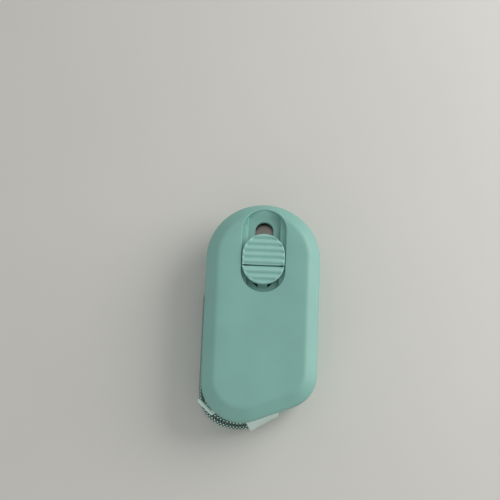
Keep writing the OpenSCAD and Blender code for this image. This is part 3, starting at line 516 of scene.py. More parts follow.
class Finish:
    """A node material with one Principled surface, read in Object coordinates."""

    def __init__(self, name, colour, roughness, metallic=0.0, **sockets):
        self.material = bpy.data.materials.new(name)
        self.material.use_nodes = True
        self.tree = self.material.node_tree
        self.surface = next(n for n in self.tree.nodes if n.type == "BSDF_PRINCIPLED").inputs
        sockets.update(Base_Color=(*colour, 1.0), Roughness=roughness, Metallic=metallic)
        for key, value in sockets.items():
            self.surface[key.replace("_", " ")].default_value = value
        self.place = self.add("ShaderNodeTexCoord").outputs["Object"]

    def add(self, kind, inputs=(), **values):
        return node_in(self.tree, kind, inputs, **values)

    def moved(self, centre=(0, 0, 0), scale=(1, 1, 1), angle=0.0):
        """Object coordinates about a centre in millimetres, turned about Z and stretched."""
        vector = self.place
        for key, value in (("Location", [-c * MM for c in centre]), ("Rotation", (0, 0, -radians(angle))),
                           ("Scale", scale)):
            vector = self.add("ShaderNodeMapping", {"Vector": vector, key: value}).outputs["Vector"]
        return vector

    def distance(self, centre):
        """Distance in metres to an upright axis through a centre in millimetres."""
        inputs = {0: self.moved(centre, (1, 1, 0))}
        return self.add("ShaderNodeVectorMath", inputs, operation="LENGTH").outputs["Value"]

    def noise(self, size, vector=None, detail=3.0, roughness=0.5):
        """Noise whose features are about size millimetres wide."""
        inputs = {"Scale": 1 / (size * MM), "Detail": detail, "Roughness": roughness}
        inputs["Vector"] = vector or self.place
        return self.add("ShaderNodeTexNoise", inputs).outputs["Fac"]

    def math(self, operation, *terms):
        """One arithmetic step on sockets or numbers."""
        return self.add("ShaderNodeMath", enumerate(terms), operation=operation).outputs[0]

    def tint(self, source, first, second, low=0.3, high=0.7):
        """Base colour that goes from one colour to another as a value rises between two limits."""
        ramp = self.add("ShaderNodeValToRGB", {"Fac": source})
        for stop, at, colour in zip(ramp.color_ramp.elements, (low, high), (first, second)):
            stop.position, stop.color = at, (*colour, 1)
        self.tree.links.new(ramp.outputs["Color"], self.surface["Base Color"])
        return self

    def rough(self, source, low, high):
        """Roughness that goes between two values over the middle of a noise's range."""
        inputs = {"Value": source, "From Min": 0.3, "From Max": 0.7, "To Min": low, "To Max": high}
        node = self.add("ShaderNodeMapRange", inputs)
        self.tree.links.new(node.outputs["Result"], self.surface["Roughness"])
        return self

    def bump(self, source, height, strength=0.5):
        """Relief of a height in millimetres, over any relief that is there already."""
        inputs, normal = {"Distance": height * MM, "Strength": strength, "Height": source}, self.surface["Normal"]
        if normal.is_linked:
            inputs["Normal"] = normal.links[0].from_socket
        self.tree.links.new(self.add("ShaderNodeBump", inputs).outputs["Normal"], normal)
        return self

    def on(self, *pieces):
        """Puts the finish on pieces, or on solids by their node names."""
        for piece in pieces:
            piece = frame["nodes"][piece] if isinstance(piece, str) else piece
            piece.data.materials.clear()
            piece.data.materials.append(self.material)
        return self


def shade(colour, factor):
    """A lighter or darker neighbour of a colour."""
    return tuple(min(1.0, c * factor) for c in colour)


def moulded(name, colour, roughness=0.46, grain=0.16):
    """Moulded plastic: slow drift of colour, fine spark-eroded grain, faint handling marks in the gloss."""
    finish = Finish(name, colour, roughness, IOR=1.49)
    drift = finish.noise(14, detail=2)
    finish.tint(drift, shade(colour, 0.965), shade(colour, 1.03))
    marks = finish.noise(3.5, finish.moved(scale=(1, 0.35, 1), angle=20), detail=5, roughness=0.6)
    finish.rough(marks, roughness - 0.025, roughness + 0.035)
    finish.bump(finish.noise(grain, detail=2), 0.012, 0.35)
    return finish.bump(drift, 0.1, 0.1)


def brushed(name, colour, roughness=0.32, scale=(1, 30, 1), size=0.9):
    """Metal with fine lines drawn one way and a cloudy gloss."""
    finish = Finish(name, colour, roughness, metallic=1.0)
    lines = finish.noise(size, finish.moved(scale=scale), detail=4)
    finish.tint(finish.noise(5, detail=3), shade(colour, 0.9), shade(colour, 1.06))
    return finish.rough(lines, roughness - 0.08, roughness + 0.1).bump(lines, 0.006, 0.4)


def turned(name, colour, centre, roughness=0.3, pitch=0.09):
    """Metal faced on a lathe: rings about a centre, from noise read on the distance to it alone."""
    finish = Finish(name, colour, roughness, metallic=1.0)
    only = finish.add("ShaderNodeCombineXYZ", {"X": finish.distance(centre)})
    lines = finish.noise(pitch, only.outputs["Vector"], detail=3)
    finish.tint(finish.noise(6, detail=4), shade(colour, 0.85), shade(colour, 1.1))
    return finish.rough(lines, roughness - 0.07, roughness + 0.12).bump(lines, 0.004, 0.4)


def tape_finish(name):
    """Tape: cream coat with a woven bump, a line every millimetre, longer ones every five and ten."""
    cream = linear(238, 236, 224)
    finish = Finish(name, cream, 0.5, IOR=1.45)
    start = finish.moved(np.append(on_slant(LEAD_U, 0), TAPE_Z), (1 / MM, 1 / MM, 1 / MM), SLANT_A)
    split = finish.add("ShaderNodeSeparateXYZ", {"Vector": start}).outputs
    along, up = finish.math("ABSOLUTE", split["X"]), split["Z"]

    def ticks(pitch, width, high):
        middle = finish.math("SUBTRACT", finish.math("MODULO", along, pitch), pitch / 2)
        near = finish.math("LESS_THAN", finish.math("ABSOLUTE", middle), width)
        return finish.math("MULTIPLY", near, finish.math("LESS_THAN", up, high))

    marks = finish.math("MAXIMUM", ticks(1.0, 0.09, 2.0), ticks(5.0, 0.11, 3.2))
    marks = finish.math("MAXIMUM", marks, ticks(10.0, 0.14, 4.6))
    finish.tint(marks, cream, linear(40, 42, 44), 0.4, 0.6)
    finish.bump(finish.noise(0.2, detail=2), 0.02, 0.3)
    return finish.rough(finish.noise(2, detail=2), 0.42, 0.58)


# ---- stage ----

def hung(name, data, away, place, roll=0.0):
    """A camera or lamp at a place in metres that looks against a vector, with the picture turned by the roll."""
    away = np.array(away) / np.linalg.norm(away)
    side = np.cross([0, 0, 1], away)
    side /= np.linalg.norm(side)
    up, c, s = np.cross(away, side), cos(roll), sin(roll)
    rows = np.column_stack([c * side + s * up, c * up - s * side, away, place])
    holder = placed(name, data)
    holder.matrix_world = Matrix([*rows.tolist(), [0, 0, 0, 1]])
    return holder


def soft_room(strength):
    """World that lights evenly, and shows as one pale grey to the camera and in metal and glass."""
    world = bpy.data.worlds.new("soft_room")
    world.use_nodes = True
    tree = world.node_tree
    light, output = (next(n for n in tree.nodes if n.type == kind) for kind in ("BACKGROUND", "OUTPUT_WORLD"))
    light.inputs["Color"].default_value, light.inputs["Strength"].default_value = (0.97, 0.985, 1.0, 1), strength
    pale = node_in(tree, "ShaderNodeBackground", {"Color": (0.9, 0.9, 0.9, 1), "Strength": 1.0})
    rays = node_in(tree, "ShaderNodeLightPath").outputs
    seen = rays["Is Camera Ray"]
    for kind in ("Is Glossy Ray", "Is Transmission Ray"):
        seen = node_in(tree, "ShaderNodeMath", {0: seen, 1: rays[kind]}, operation="MAXIMUM").outputs[0]
    mix = node_in(tree, "ShaderNodeMixShader", {0: seen, 1: light.outputs[0], 2: pale.outputs[0]})
    tree.links.new(mix.outputs[0], output.inputs["Surface"])
    return world


class CUTTER_OT_stage(Operator):
    """Camera at the display angle, pale floor, one soft key lamp with a weak fill, and even surroundings"""
    bl_idname = "cutter.stage"
    bl_label = "Stage and camera"

    def execute(self, context):
        values, scene = context.scene.cutter_stage, context.scene
        back = np.array([0, -cos(values.elevation), sin(values.elevation)])
        data = bpy.data.cameras.new("display_camera")
        data.lens, data.sensor_width, data.clip_start = values.lens, SENSOR, 0.01
        scene.camera = hung("display_camera", data, back, AIM * MM + values.distance * back, values.roll)
        scene.view_settings.view_transform = "Standard"

        low = solid_box[0][2] / MM - FLOOR_DROP
        plan = box_plan(-FLOOR_HALF, FLOOR_HALF, -FLOOR_HALF, FLOOR_HALF)
        floor = Surface().prism(plan, low - FLOOR_T, low).mesh("floor")
        finish = Finish("floor_paper", values.floor, 0.85)
        finish.tint(finish.noise(60, detail=2), shade(values.floor, 0.99), shade(values.floor, 1.01))
        finish.bump(finish.noise(0.7, detail=3), 0.02, 0.15).on(floor)

        for name, (place, width, share, colour) in LAMPS.items():
            lamp = bpy.data.lights.new(name, "AREA")
            lamp.shape, lamp.size, lamp.energy, lamp.color = "DISK", width, values.key * share, colour
            hung(name, lamp, place, place)
        scene.world = soft_room(values.fill)
        return DONE


# ---- lanyard cord ----

def even(rows, spacing):
    """A line of points spaced evenly along its own length, and the length to each of them."""
    along = lengths(rows)
    at = np.linspace(0, along[-1], int(round(along[-1] / spacing)) + 1)
    return np.stack([np.interp(at, along, rows[:, k]) for k in range(3)], -1), at


def smooth_route(points, spacing, blur):
    """Smooth line through the route's points: a centripetal curve, sampled evenly, averaged with a bell weight.

    The ends stay where they are. Returns the line, its directions, a sideways vector carried along without
    twist, and the length to each point."""
    padded = np.vstack([2 * points[0] - points[1], points, 2 * points[-1] - points[-2]])
    knots = np.concatenate([[0], np.cumsum(np.sqrt(np.linalg.norm(np.diff(padded, axis=0), axis=1)))])
    parts = []
    for k in range(1, len(padded) - 2):
        t = np.linspace(knots[k], knots[k + 1], 60, endpoint=False)[:, None]
        p, s = padded[k - 1:k + 3], knots[k - 1:k + 3]
        a = [((s[i + 1] - t) * p[i] + (t - s[i]) * p[i + 1]) / (s[i + 1] - s[i]) for i in range(3)]
        b = [((s[i + 2] - t) * a[i] + (t - s[i]) * a[i + 1]) / (s[i + 2] - s[i]) for i in range(2)]
        parts.append(((s[2] - t) * b[0] + (t - s[1]) * b[1]) / (s[2] - s[1]))
    line, along = even(np.vstack(parts + [points[-1:]]), spacing)

    half = int(3 * blur / spacing)
    weights = np.exp(-0.5 * (np.arange(-half, half + 1) * spacing / blur) ** 2)
    weights /= weights.sum()
    ahead, behind = 2 * line[0] - line[half:0:-1], 2 * line[-1] - line[-2:-half - 2:-1]
    wide = np.vstack([ahead, line, behind])
    line, along = even(np.stack([np.convolve(wide[:, k], weights, "valid") for k in range(3)], -1), spacing)
    ways = directions(line)
    sides, side = np.zeros_like(line), np.array([0, 0, 1.0])
    for k, way in enumerate(ways):
        side = side - (side @ way) * way
        side = side / np.linalg.norm(side)
        sides[k] = side
    return line, ways, sides, along


class CUTTER_OT_cord(Operator):
    """Braided lanyard cord: a tube on a smooth line, its radius following the crossing strands, and a highlight
    painted on the crest of each stitch
    """
    bl_idname = "cutter.cord"
    bl_label = "Lanyard cord"

    def execute(self, context):
        values = context.scene.cutter_cord
        line, ways, sides, along = smooth_route(CORD_ROUTE, CORD_STEP, CORD_BLUR)
        around = np.arange(CORD_COLUMNS) * 2 * pi / CORD_COLUMNS
        turn = 2 * pi * along[:, None] / (values.stitch * CORD_STRANDS)
        right_hand = np.cos(CORD_STRANDS * (around[None] + turn))
        left_hand = np.cos(CORD_STRANDS * (around[None] - turn))
        radius = CORD_D / 2 - CORD_SINK + values.relief * (np.maximum(right_hand, left_hand) - 0.5)
        section = radius * np.cos(around), radius * np.sin(around)
        surface = Surface().grid(carried(line, sides, np.cross(ways, sides), *section))
        piece = surface.mesh("cord_braid", sharp=180)
        # Painted highlight mask: highest where both strand families crest together; it is stored in the point
        # attribute named strand
        crest_highlight = np.clip(right_hand, 0, 1) * np.clip(left_hand, 0, 1)
        strand = np.append(crest_highlight.reshape(-1), [0, 0])
        layer = piece.data.attributes.new("strand", "FLOAT", "POINT")
        layer.data.foreach_set("value", strand.astype(np.float32))

        finish = Finish("cord_yarn", values.dark, 0.45, Sheen_Weight=0.06, Sheen_Roughness=0.4)
        mask = finish.add("ShaderNodeAttribute", attribute_name="strand").outputs["Fac"]
        # Painted highlight: the dark yarn turns to the pale highlight colour on each stitch's crest
        finish.tint(mask, values.dark, values.bright, 0.03, 0.16)
        finish.bump(finish.noise(0.12, finish.moved(scale=(1, 0.3, 1)), detail=2), 0.03, 0.5)
        finish.rough(finish.noise(0.5, detail=2), 0.32, 0.5).on(piece)
        stand(piece, "lanyard_cord")
        return DONE


# ---- case ----

def border_profile():
    """The border from the wall to the flat, as rows of inset and height: a shoulder, a slope and a crest."""
    border = np.vstack([curve(*SHOULDER, 5), SLOPE, curve(*CREST, 9), FLAT])
    border[:, 0] = np.maximum.accumulate(border[:, 0] + 1e-4 * np.arange(len(border)))
    return border


def front_rings(around, rim_soft):
    """Front shell about the recess's middle: lip, border, rim, ledges, channel, slot, and back inside.

    Each ring's radius is the reach of the case's outline at an inset, or of the recess, channel or slot."""
    corners = [(SLOT_W / 2, SLOT_LOW + SLOT_CORNER), (SLOT_W / 2 - SLOT_CORNER, SLOT_LOW),
               (SLOT_W / 2, SLOT_TOP - SLOT_W / 2), (CHANNEL_W / 2, CHANNEL_TOP), (CHANNEL_W / 2, CHANNEL_LOW)]
    special = np.concatenate([np.degrees(np.arctan2(y - MIDDLE[1], [x, -x])) for x, y in corners]) % 360
    angles = np.unique(np.concatenate([np.arange(around) * 360 / around, special]))
    stack = Rings(angles)
    ways, columns = stack.ways, np.arange(len(angles))
    table = np.array([reach(case_line(d), angles) for d in np.arange(0, DEEPEST + 0.2, TABLE_STEP)])

    def ray(inset):
        k = np.clip(np.zeros(len(angles)) + inset, 0, DEEPEST + 0.05) / TABLE_STEP
        i = k.astype(int)
        return table[i, columns] * (1 - k + i) + table[i + 1, columns] * (k - i)

    # lower lip and border, held back from the recess's rim where the border is wider than the room for it
    border = border_profile()
    insets, levels = border.T
    rim = reach(dense(obround_plan(RECESS_W, RECESS_LOW, RECESS_TOP, 240)), angles)
    lip = rim + rim_soft
    lip_depth = depth(MIDDLE + lip[:, None] * ways)
    lip_z = np.interp(lip_depth, insets, levels)
    for a in np.radians([0, 30, 60, 90]):
        stack.add((ray(CORNER_R * (1 - sin(a))), FRONT_LOW + CORNER_R * (1 - cos(a))))
    for k, (inset, level) in enumerate(border):
        kept = np.minimum(inset, lip_depth - 0.03 * (len(border) - k))
        stack.add((ray(kept), np.where(kept < inset, np.interp(kept, insets, levels), level)))
    for a in np.radians([0, 22.5, 45, 67.5, 90]):
        stack.add((lip - rim_soft * sin(a), lip_z - rim_soft * (1 - cos(a))))

    # ledges, channel with its leaning walls and its ramp, and the slot
    def ground(radius):
        y = MIDDLE[1] + radius * ways[:, 1]
        return FLOOR_Z + np.clip((y - RECESS_TOP + RAMP_L) / RAMP_L, 0, 1) * (LEDGE_Z - FLOOR_Z)

    with np.errstate(divide="ignore"):
        channel = np.minimum(rim - 0.02, CHANNEL_W / 2 / np.abs(ways[:, 0]))
    edge = np.minimum(channel + CHANNEL_SOFT, rim - 0.01)
    slot = reach(slot_line(), angles)
    foot = np.maximum(ground(channel), FLOOR_Z)
    draft = DRAFT * (LEDGE_Z - foot) / (LEDGE_Z - FLOOR_Z)
    rise = (RECESS_TOP - RAMP_L - MIDDLE[1]) / np.maximum(ways[:, 1], 0.2)
    ramp = np.clip(np.where(ways[:, 1] > 0.2, rise, slot + 0.6), slot + 0.3, channel - draft - 0.03)
    stack.add(
        (rim, LEDGE_Z), (edge, LEDGE_Z), (channel + 0.12 * (edge > channel + 0.15), LEDGE_Z - 0.1),
        (channel, np.maximum(np.minimum(LEDGE_Z - CHANNEL_SOFT, foot + 1.24), foot)), (channel - draft, foot),
        (ramp, ground(ramp)), (slot + 0.15, FLOOR_Z), (slot, FLOOR_Z - 0.15), (slot, UNDER_Z))

    # underside of the recess, ceiling and inner wall
    tub = obround_plan(RECESS_W + 2 * TUB_WALL, RECESS_LOW - TUB_WALL, RECESS_TOP + TUB_WALL, 240)
    tub = np.minimum(reach(dense(tub), angles), ray(FRONT_WALL + 0.05))
    tub_depth = depth(MIDDLE + tub[:, None] * ways)
    stack.add((tub, UNDER_Z))
    for inset in (12.0, 5.4, 3.6, FRONT_WALL):
        kept = np.minimum(inset, tub_depth - 0.02 * (inset < 12))
        stack.add((ray(np.maximum(kept, FRONT_WALL)), np.interp(kept, CEILING_AT, CEILING_Z)))
    stack.add((ray(FRONT_WALL), FRONT_LOW))
    return stack.points()


class CUTTER_OT_front_shell(Operator):
    """Front shell from its lower lip over the border and the recess to its inside, with bosses and rails"""
    bl_idname = "cutter.front_shell"
    bl_label = "Front shell"

    def execute(self, context):
        values = context.scene.cutter_case
        piece = Surface().grid(front_rings(values.around, values.rim_soft), wrap=True).mesh("front_case", sharp=38)

        inside = Surface()
        for spot in SCREWS:
            inside.tube(spot, *SCREW_TUBE)
        for side in (-1, 1):
            for x, half, y0, y1, low, high in RAILS:
                inside.prism(box_plan(side * x - half, side * x + half, y0, y1, 0.2), low, high)
        inside.tube(REEL, *AXLE_TUBE)
        inside.tube(PIN_AT, *PIN_TUBE)
        fittings = inside.mesh("front_case_fittings")
        moulded("case_plastic", values.colour).on(piece, fittings)
        stand(piece, "front_shell")
        stand(fittings, "front_shell", hide=False)
        return DONE


def rear_rings():
    """Rear shell about its own middle: a bowl whose inset follows a quarter ellipse, outside and then inside."""
    angles = np.arange(480) * 0.75
    stack = Rings(angles, REAR_MIDDLE)

    def ring(inset):
        return reach(case_line(inset), angles, REAR_MIDDLE)

    def inset_at(a):
        return REAR_STEP + REAR_CURVE * (1 - cos(a))

    stack.add((BOWL_R, 0.0))
    for a in np.radians(np.linspace(90, 0, 28)):
        stack.add((ring(inset_at(a)), PART_Z * (1 - sin(a)) - REAR_SOFT * (a == 0)))
    stack.add((ring(REAR_STEP + REAR_SOFT), PART_Z), (ring(REAR_STEP + REAR_WALL), PART_Z))
    for a in np.radians(np.linspace(0, 90, 12))[1:]:
        stack.add((ring(inset_at(a) + REAR_WALL), PART_Z - (PART_Z - REAR_FLOOR) * sin(a)))
    stack.add((BOWL_R, REAR_FLOOR))
    return stack.points()


def rear_cutters():
    """Two sets of volumes to take out of the rear shell, shared out so that none meets another of its set."""
    first, second = Surface(), Surface()
    first.prism(box_plan(*BLADE_BAY), *BLADE_BAY_Z)
    first.prism(slant_plan(SEAT_LEFT, SEAT_RIGHT, -3, SEAT_INSET), -1, PART_Z + 1)
    tape_slit(second)
    for cutter, bay in zip((first, second), LEVER_BAYS):
        cutter.prism(lever_plan(*bay), *LEVER_BAY_Z)
    for spot, head_in in [(spot, HEAD_IN) for spot in SCREWS] + [(REEL, REEL_HEAD_IN)]:
        first.prism(circle(spot, THREAD_R, 10), -1, 4)
        second.prism(circle(spot, HEAD_BORE_R, 7.5), -1, head_in)
    way, across = unit(CORD_A), unit(CORD_A - 90)
    hole = np.array([circle(np.zeros(2), CORD_D / 2 + 0.2, 12)] * 2)
    for strand, cutter in zip(STRAND_R, (first, second)):
        start = np.append(CORD_TURN + across * strand - 0.5 * way, CORD_Z)
        path = start + np.array([[0.0], [12.7]]) * np.append(way, 0)
        side, up = np.tile(np.append(across, 0), (2, 1)), np.array([[0, 0, 1.0]] * 2)
        cutter.grid(carried(path, side, up, hole[..., 0], hole[..., 1]))
    return first, second


def tape_slit(surface):
    """Adds the slit that the tape runs out through, as a volume to cut."""
    low, high = LEAD_U - MOUTH_GAP, LEAD_U + TAPE_T + MOUTH_GAP
    plan = slant_plan(low, high, SEAT_INSET - 1, SEAT_INSET + SEAT_WALL + 4)
    return surface.prism(plan, TAPE_Z - MOUTH_GAP, TAPE_Z + TAPE_W + MOUTH_GAP)


class CUTTER_OT_rear_shell(Operator):
    """Rear shell with its mouths, seats and bores cut out, the wall behind the pull tab, and its bosses"""
    bl_idname = "cutter.rear_shell"
    bl_label = "Rear shell"

    def execute(self, context):
        values = context.scene.cutter_case
        piece = Surface().grid(rear_rings()).mesh("rear_case")
        plan = slant_plan(SEAT_LEFT, SEAT_RIGHT, SEAT_INSET, SEAT_INSET + SEAT_WALL)
        wall = Surface().prism(plan, SEAT_FOOT, PART_Z).mesh("tab_seat_wall")
        cut(wall, tape_slit(Surface()).mesh("slit"))
        for cutter in rear_cutters():
            cut(piece, cutter.mesh("cutter"))
        smooth(piece.data, 28)

        inside, foot = Surface(), REAR_FLOOR - 0.05
        bosses = [(spot, BOSS_R, JOINT_Z, THREAD_R, HEAD_IN, HEAD_BORE_R) for spot in SCREWS]
        bosses.append((REEL, SEAT_R, SEAT_TOP, AXLE_BORE_R, REEL_HEAD_IN, THREAD_R))
        for spot, outer, top, bore, step, lower in bosses:
            profile = (outer, foot), (outer, top), (bore, top), (bore, step), (lower, step), (lower, foot)
            inside.lathe(spot, profile, 48)
        inside.tube(PIN_AT, *REAR_PIN_TUBE)
        fittings = inside.mesh("rear_case_fittings")
        moulded("rear_case_plastic", shade(values.colour, 0.985), grain=0.2).on(piece, wall, fittings)
        for made in (piece, wall, fittings):
            stand(made, "rear_shell", hide=made is piece)
        return DONE


# ---- thumb pad ----

def pad_surface(low, high, arc_y, crest_at, soft, base_z):
    """Ribbed pad between two heights along Y, half as wide as its round-ended outline at each place.

    The top is a cosine wave along Y whose hollows are narrowed by a power and fade towards the outline, less a
    quarter-circle fall within the soft distance of the outline and of the split. Each row is a closed section:
    over the top and back along the bottom."""
    r = PAD_W / 2
    y = (low + high) / 2 + (high - low) / 2 * np.sin(np.linspace(-1, 1, 150) * pi / 2)
    y[0], y[-1] = low, high
    beyond = np.maximum(0, (y - arc_y) * copysign(1, low + high - 2 * SPLIT_Y))
    half = np.sqrt(np.maximum(r * r - beyond ** 2, 0.04 ** 2))
    s = np.concatenate([np.linspace(-1, -0.8, 12), np.linspace(-0.8, 0.8, 24)[1:-1], np.linspace(0.8, 1, 12)])
    x = half[:, None] * np.sin(s * pi / 2)[None]
    rim = r - np.hypot(x, beyond[:, None])
    ends = np.minimum(y - low, high - y)[:, None]
    edge = np.clip(np.minimum(rim / soft, ends / SPLIT_SOFT), 0, 1)
    fade = np.clip(rim / RIB_FADE, 0, 1)
    wave = ((1 - np.cos(2 * pi * (y - crest_at) / RIB_PITCH))[:, None] / 2) ** RIB_POWER
    top = PAD_TOP_Z - RIB_DEPTH * wave * fade ** 2 * (3 - 2 * fade) - soft * (1 - np.sqrt(1 - (1 - edge) ** 2))
    rows = np.broadcast_to(y[:, None], x.shape)
    lower = np.stack([x[:, ::-1], rows, np.full(x.shape, base_z)], -1)
    return np.concatenate([np.stack([x, rows, top], -1), lower], 1)


class CUTTER_OT_thumb_pad(Operator):
    """Thumb pad in two halves: the slider above the split and the lock button below it, each with its stem"""
    bl_idname = "cutter.thumb_pad"
    bl_label = "Slider and lock button"

    def execute(self, context):
        values = context.scene.cutter_case
        r, low, high, soft = PAD_W / 2, SPLIT_Y - SPLIT_GAP / 2, SPLIT_Y + SPLIT_GAP / 2, values.pad_soft

        # slider: pad, foot under the slot, stem through it, and the post that the carriage takes
        slider = Surface().grid(pad_surface(high, PAD_TOP, PAD_TOP - r, SLIDER_CREST, soft, PAD_Z))
        slider.prism(obround_plan(*FOOT), *FOOT_Z, 0.1)
        slider.prism(box_plan(-STEM[0], STEM[0], high, FOOT[2], STEM[1], 12), FOOT_Z[0], PAD_Z + PAD_LAP, 0.05)
        slider.prism(circle(POST, POST_R, 10), POST_LOW, FOOT_Z[0] + 1, 0.1)
        piece = slider.mesh("slider_pad", sharp=40)
        stand(piece, "blade_slider")

        # lock button: pad, core, stem, tongue in the slot's lower end, and the foot over the spring
        lock = Surface().grid(pad_surface(BUTTON_LOW, low, BUTTON_LOW + r, BUTTON_CREST, soft, PAD_Z + LOCK_TRAVEL))
        for half_x, y0, y1, corner, z0, z1 in LOCK_PARTS:
            lock.prism(box_plan(-half_x, half_x, y0, y1, corner), z0, z1, 0.1)
        button = lock.mesh("lock_pad", sharp=40)
        stand(button, "lock_button")
        moulded("pad_plastic", values.pad_colour, 0.4, 0.14).on(piece, button)
        return DONE


# ---- tape, lever, blade and small parts ----

def section_ring(half_t, half_h, corner, steps=5):
    """Rounded rectangle as a ring of points, for arrays of half sizes: quarter circles at the four corners."""
    a = np.radians(np.concatenate([np.linspace(q, q + 90, steps) for q in (0, 90, 180, 270)]))
    sx, sy = np.repeat([1, -1, -1, 1], steps), np.repeat([1, 1, -1, -1], steps)
    return (sx * (half_t[:, None] - corner[:, None]) + corner[:, None] * np.cos(a),
            sy * (half_h[:, None] - corner[:, None]) + corner[:, None] * np.sin(a))


def tab_strip():
    """Pull tab: a rounded section carried along the slant, bent outwards by a power of the free length.

    Its low corner is drawn in along the slant and its high one stays out, in proportion to height and length."""
    fall = np.radians(np.linspace(0, 90, 7))
    ends, drop = TAB_SOFT * (1 - np.cos(fall)), TAB_SOFT * (1 - np.sin(fall))
    middle = np.linspace(TAB_LEFT + TAB_SOFT, TAB_RIGHT - TAB_SOFT, 60)[1:-1]
    u = np.concatenate([TAB_LEFT + ends, middle, (TAB_RIGHT - ends)[::-1]])
    inner = np.concatenate([drop, np.zeros(len(middle)), drop[::-1]])
    free = (TAB_RIGHT - u) / (TAB_RIGHT - TAB_LEFT)
    path = raised(on_slant(u, TAB_INSET - TAB_FLARE * free ** TAB_BEND + TAB_T / 2), TAB_Z + TAB_H / 2)
    up = np.tile([0, 0, 1.0], (len(u), 1))
    section = section_ring(TAB_T / 2 - inner * 0.9, TAB_H / 2 - inner, TAB_CORNER - inner * 0.5)
    strip = carried(path, np.cross(up, directions(path)), up, *section)
    height, free = (strip[..., 2] - TAB_Z) / TAB_H, free[:, None]
    strip[..., :2] += (TAB_LEAN * (1 - height) * free)[..., None] * SLANT_U
    strip[..., :2] -= (TAB_TOP_LEAN * TAB_FLARE * height * free ** TAB_BEND)[..., None] * SLANT_N
    return strip


class CUTTER_OT_pull_tab(Operator):
    """Pull tab with the clamp for the tape's end, its rivet heads, and the printed tape end"""
    bl_idname = "cutter.pull_tab"
    bl_label = "Pull tab and tape end"

    def execute(self, context):
        pale = context.scene.cutter_case.pale_colour
        surface = Surface().grid(tab_strip())
        for u0, u1 in ((-CLAMP_REACH, -CLAMP_GAP), (TAPE_T + CLAMP_GAP, CLAMP_REACH)):
            plan = slant_plan(LEAD_U + u0, LEAD_U + u1, *CLAMP_IN)
            surface.prism(plan, TAPE_Z - CLAMP_RISE, TAPE_Z + TAPE_W + CLAMP_RISE)
        piece = surface.mesh("pull_tab")
        moulded("tab_plastic", pale, 0.36, 0.12).on(piece)
        stand(piece, "tape_tab")
        rivets = softened("tab_rivets", "tab_rivet_heads", 0.08)
        moulded("rivet_plastic", pale, 0.36, 0.12).on(rivets)
        tape_finish("tape_lead_print").on("tape_lead")
        return DONE


class CUTTER_OT_rewind_lever(Operator):
    """Rewind lever: rounded bar, neck, eye and brake arm with the peg of its rubber pad"""
    bl_idname = "cutter.rewind_lever"
    bl_label = "Rewind lever"

    def execute(self, context):
        bar_top, arm_top = BAR_Z + BAR_H, ARM_Z + ARM_T
        surface = Surface()
        surface.prism(stadium_plan(BAR_END, BAR_TIP, BAR_T / 2, BAR_T / 2), BAR_Z, bar_top, 0.3)
        neck = stadium_plan(PIN_AT + 0.85 * unit(LEVER_A), BAR_END + 0.2, NECK_R, NECK_END_R)
        surface.prism(neck, BAR_Z + 0.02, bar_top - 0.02, 0.15)
        surface.tube(PIN_AT, EYE_R, PIN_R, BAR_Z, arm_top)
        way = (BRAKE_AT - PIN_AT) / np.hypot(*(BRAKE_AT - PIN_AT))
        surface.prism(stadium_plan(PIN_AT + way, BRAKE_AT, NECK_R, ARM_END_R), ARM_Z, arm_top, 0.15)
        surface.prism(circle(BRAKE_AT, PEG_R, 12), ARM_Z - PEG_L, ARM_Z + 0.1)
        piece = surface.mesh("lever_bar_and_arm")
        # Painted light: the lever's colour is lighter than the tab's pale plastic it shares, making up for the
        # shade it sits in
        moulded("lever_plastic", context.scene.cutter_case.lit_lever_colour, 0.36, 0.12).on(piece)
        stand(piece, "rewind_lever")
        rubber = Finish("brake_rubber", linear(52, 53, 55), 0.8)
        rubber.tint(rubber.noise(0.8), linear(44, 45, 47), linear(66, 67, 69))
        rubber.bump(rubber.noise(0.25), 0.04, 0.5).on("brake_pad")
        return DONE


class CUTTER_OT_blade(Operator):
    """Round blade with its ground edge, axle, washer and nut, the carriage that holds them and its springs"""
    bl_idname = "cutter.blade"
    bl_label = "Blade and carriage"

    def execute(self, context):
        middle = BLADE_Z + BLADE_T / 2
        half = [(BORE_R, BLADE_T / 2 - 0.03), (BORE_R + 0.03, BLADE_T / 2), (BEVEL_R, BLADE_T / 2),
                (BLADE_R - 0.05, BEVEL_TIP)]
        profile = [(r, middle + z) for r, z in half] + [(BLADE_R, middle)]
        profile += [(r, middle - z) for r, z in half[::-1]]
        blade = Surface().lathe(np.array([0.0, BLADE_Y]), profile, 240).mesh("round_blade", sharp=5)
        # The blade's colour is darker than bare steel: partly the steel's own tone, partly painted shade for the
        # dimness inside the case where the blade shows through the slot
        turned("blade_steel", linear(120, 117, 112), (0, BLADE_Y, 0)).on(blade)
        stand(blade, "blade")
        steel = brushed("axle_steel", linear(186, 187, 189))
        for node in ("blade_axle", "blade_washer", "blade_nut"):
            steel.on(softened(node, node + "_part", 0.08))
        carriage = softened("blade_carriage", "carriage_part", 0.12)
        moulded("carriage_plastic", linear(62, 66, 68), 0.5, 0.2).on(carriage)
        coil = softened("lock_spring", "lock_spring_part", 0.03)
        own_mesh(coil)
        wire = brushed("spring_wire", linear(170, 170, 172), 0.26, (1, 1, 6), 0.3)
        wire.on("detent_spring", coil, "lever_spring")
        return DONE


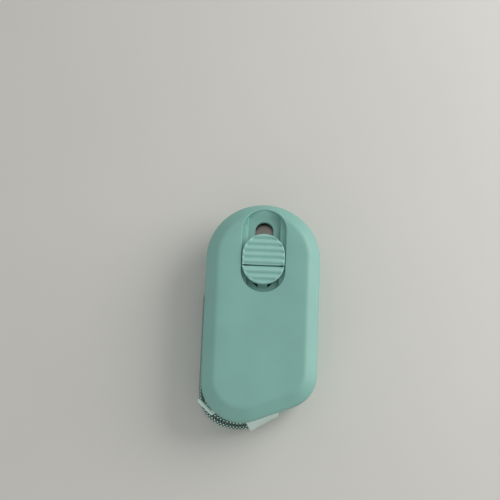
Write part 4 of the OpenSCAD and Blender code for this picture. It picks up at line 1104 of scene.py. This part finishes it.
class CUTTER_OT_tape_works(Operator):
    """Reel, wound tape, drum cover, mainspring, axle and guide inside the case"""
    bl_idname = "cutter.tape_works"
    bl_label = "Tape reel and spring"

    def execute(self, context):
        acetal = moulded("reel_plastic", linear(224, 224, 218), 0.4, 0.15)
        acetal.on(softened("tape_reel", "reel_part", 0.1), softened("drum_cover", "drum_cover_part", 0.1))
        roll = Finish("tape_roll_edges", linear(226, 222, 205), 0.55)
        turns = roll.math("FRACT", roll.math("MULTIPLY", roll.distance((*REEL, 0)), 1 / (TAPE_T * MM)))
        roll.tint(turns, linear(236, 232, 216), linear(150, 146, 132), 0.7, 0.95)
        roll.bump(turns, 0.03, 0.5).on("tape_roll")
        blued = Finish("mainspring_steel", linear(86, 92, 104), 0.3, metallic=1.0)
        lines = blued.noise(0.5, blued.moved(scale=(1, 1, 8)), detail=3)
        blued.tint(lines, linear(66, 74, 92), linear(112, 112, 116)).rough(lines, 0.22, 0.4).on("mainspring")
        steel = brushed("pin_steel", linear(184, 185, 187), 0.3, (1, 1, 0.2), 0.3)
        steel.on(softened("reel_axle", "reel_axle_part", 0.1), "guide_post", "lever_pin", "cord_crimp")
        return DONE


class CUTTER_OT_fasteners(Operator):
    """Case screws and the axle's screw, with softened heads and cross slots"""
    bl_idname = "cutter.fasteners"
    bl_label = "Screws"

    def execute(self, context):
        steel = brushed("screw_steel", linear(150, 150, 150), 0.34, (6, 1, 1), 0.5)
        steel.on(softened("case_screws", "case_screw_set", 0.1), softened("axle_screw", "axle_screw_part", 0.1))
        return DONE


# ---- panel and registration ----

class CUTTER_PT_panel(Panel):
    """Lists the builders and the values a user would change"""
    bl_idname = "CUTTER_PT_panel"
    bl_label = "Pocket rotary cutter"
    bl_space_type = "VIEW_3D"
    bl_region_type = "UI"
    bl_category = "Cutter"

    def draw(self, context):
        for operator in OPERATORS:
            self.layout.operator(operator.bl_idname)
        for key in GROUPS:
            group = getattr(context.scene, key)
            for value in group.__annotations__:
                self.layout.prop(group, value)


OPERATORS = (CUTTER_OT_stage, CUTTER_OT_cord, CUTTER_OT_front_shell, CUTTER_OT_rear_shell, CUTTER_OT_thumb_pad,
             CUTTER_OT_pull_tab, CUTTER_OT_rewind_lever, CUTTER_OT_blade, CUTTER_OT_tape_works, CUTTER_OT_fasteners)
GROUPS = {"cutter_case": CutterCase, "cutter_cord": CutterCord, "cutter_stage": CutterStage}


def register():
    for kind in (*GROUPS.values(), *OPERATORS, CUTTER_PT_panel):
        bpy.utils.register_class(kind)
    for key, group in GROUPS.items():
        setattr(Scene, key, PointerProperty(type=group))


def unregister():
    for key in GROUPS:
        delattr(Scene, key)
    for kind in (CUTTER_PT_panel, *reversed(OPERATORS), *reversed(GROUPS.values())):
        bpy.utils.unregister_class(kind)


def main():
    register()
    for operator in OPERATORS:
        group, name = operator.bl_idname.split(".")
        getattr(getattr(bpy.ops, group), name)()


if __name__ == "__main__":
    main()
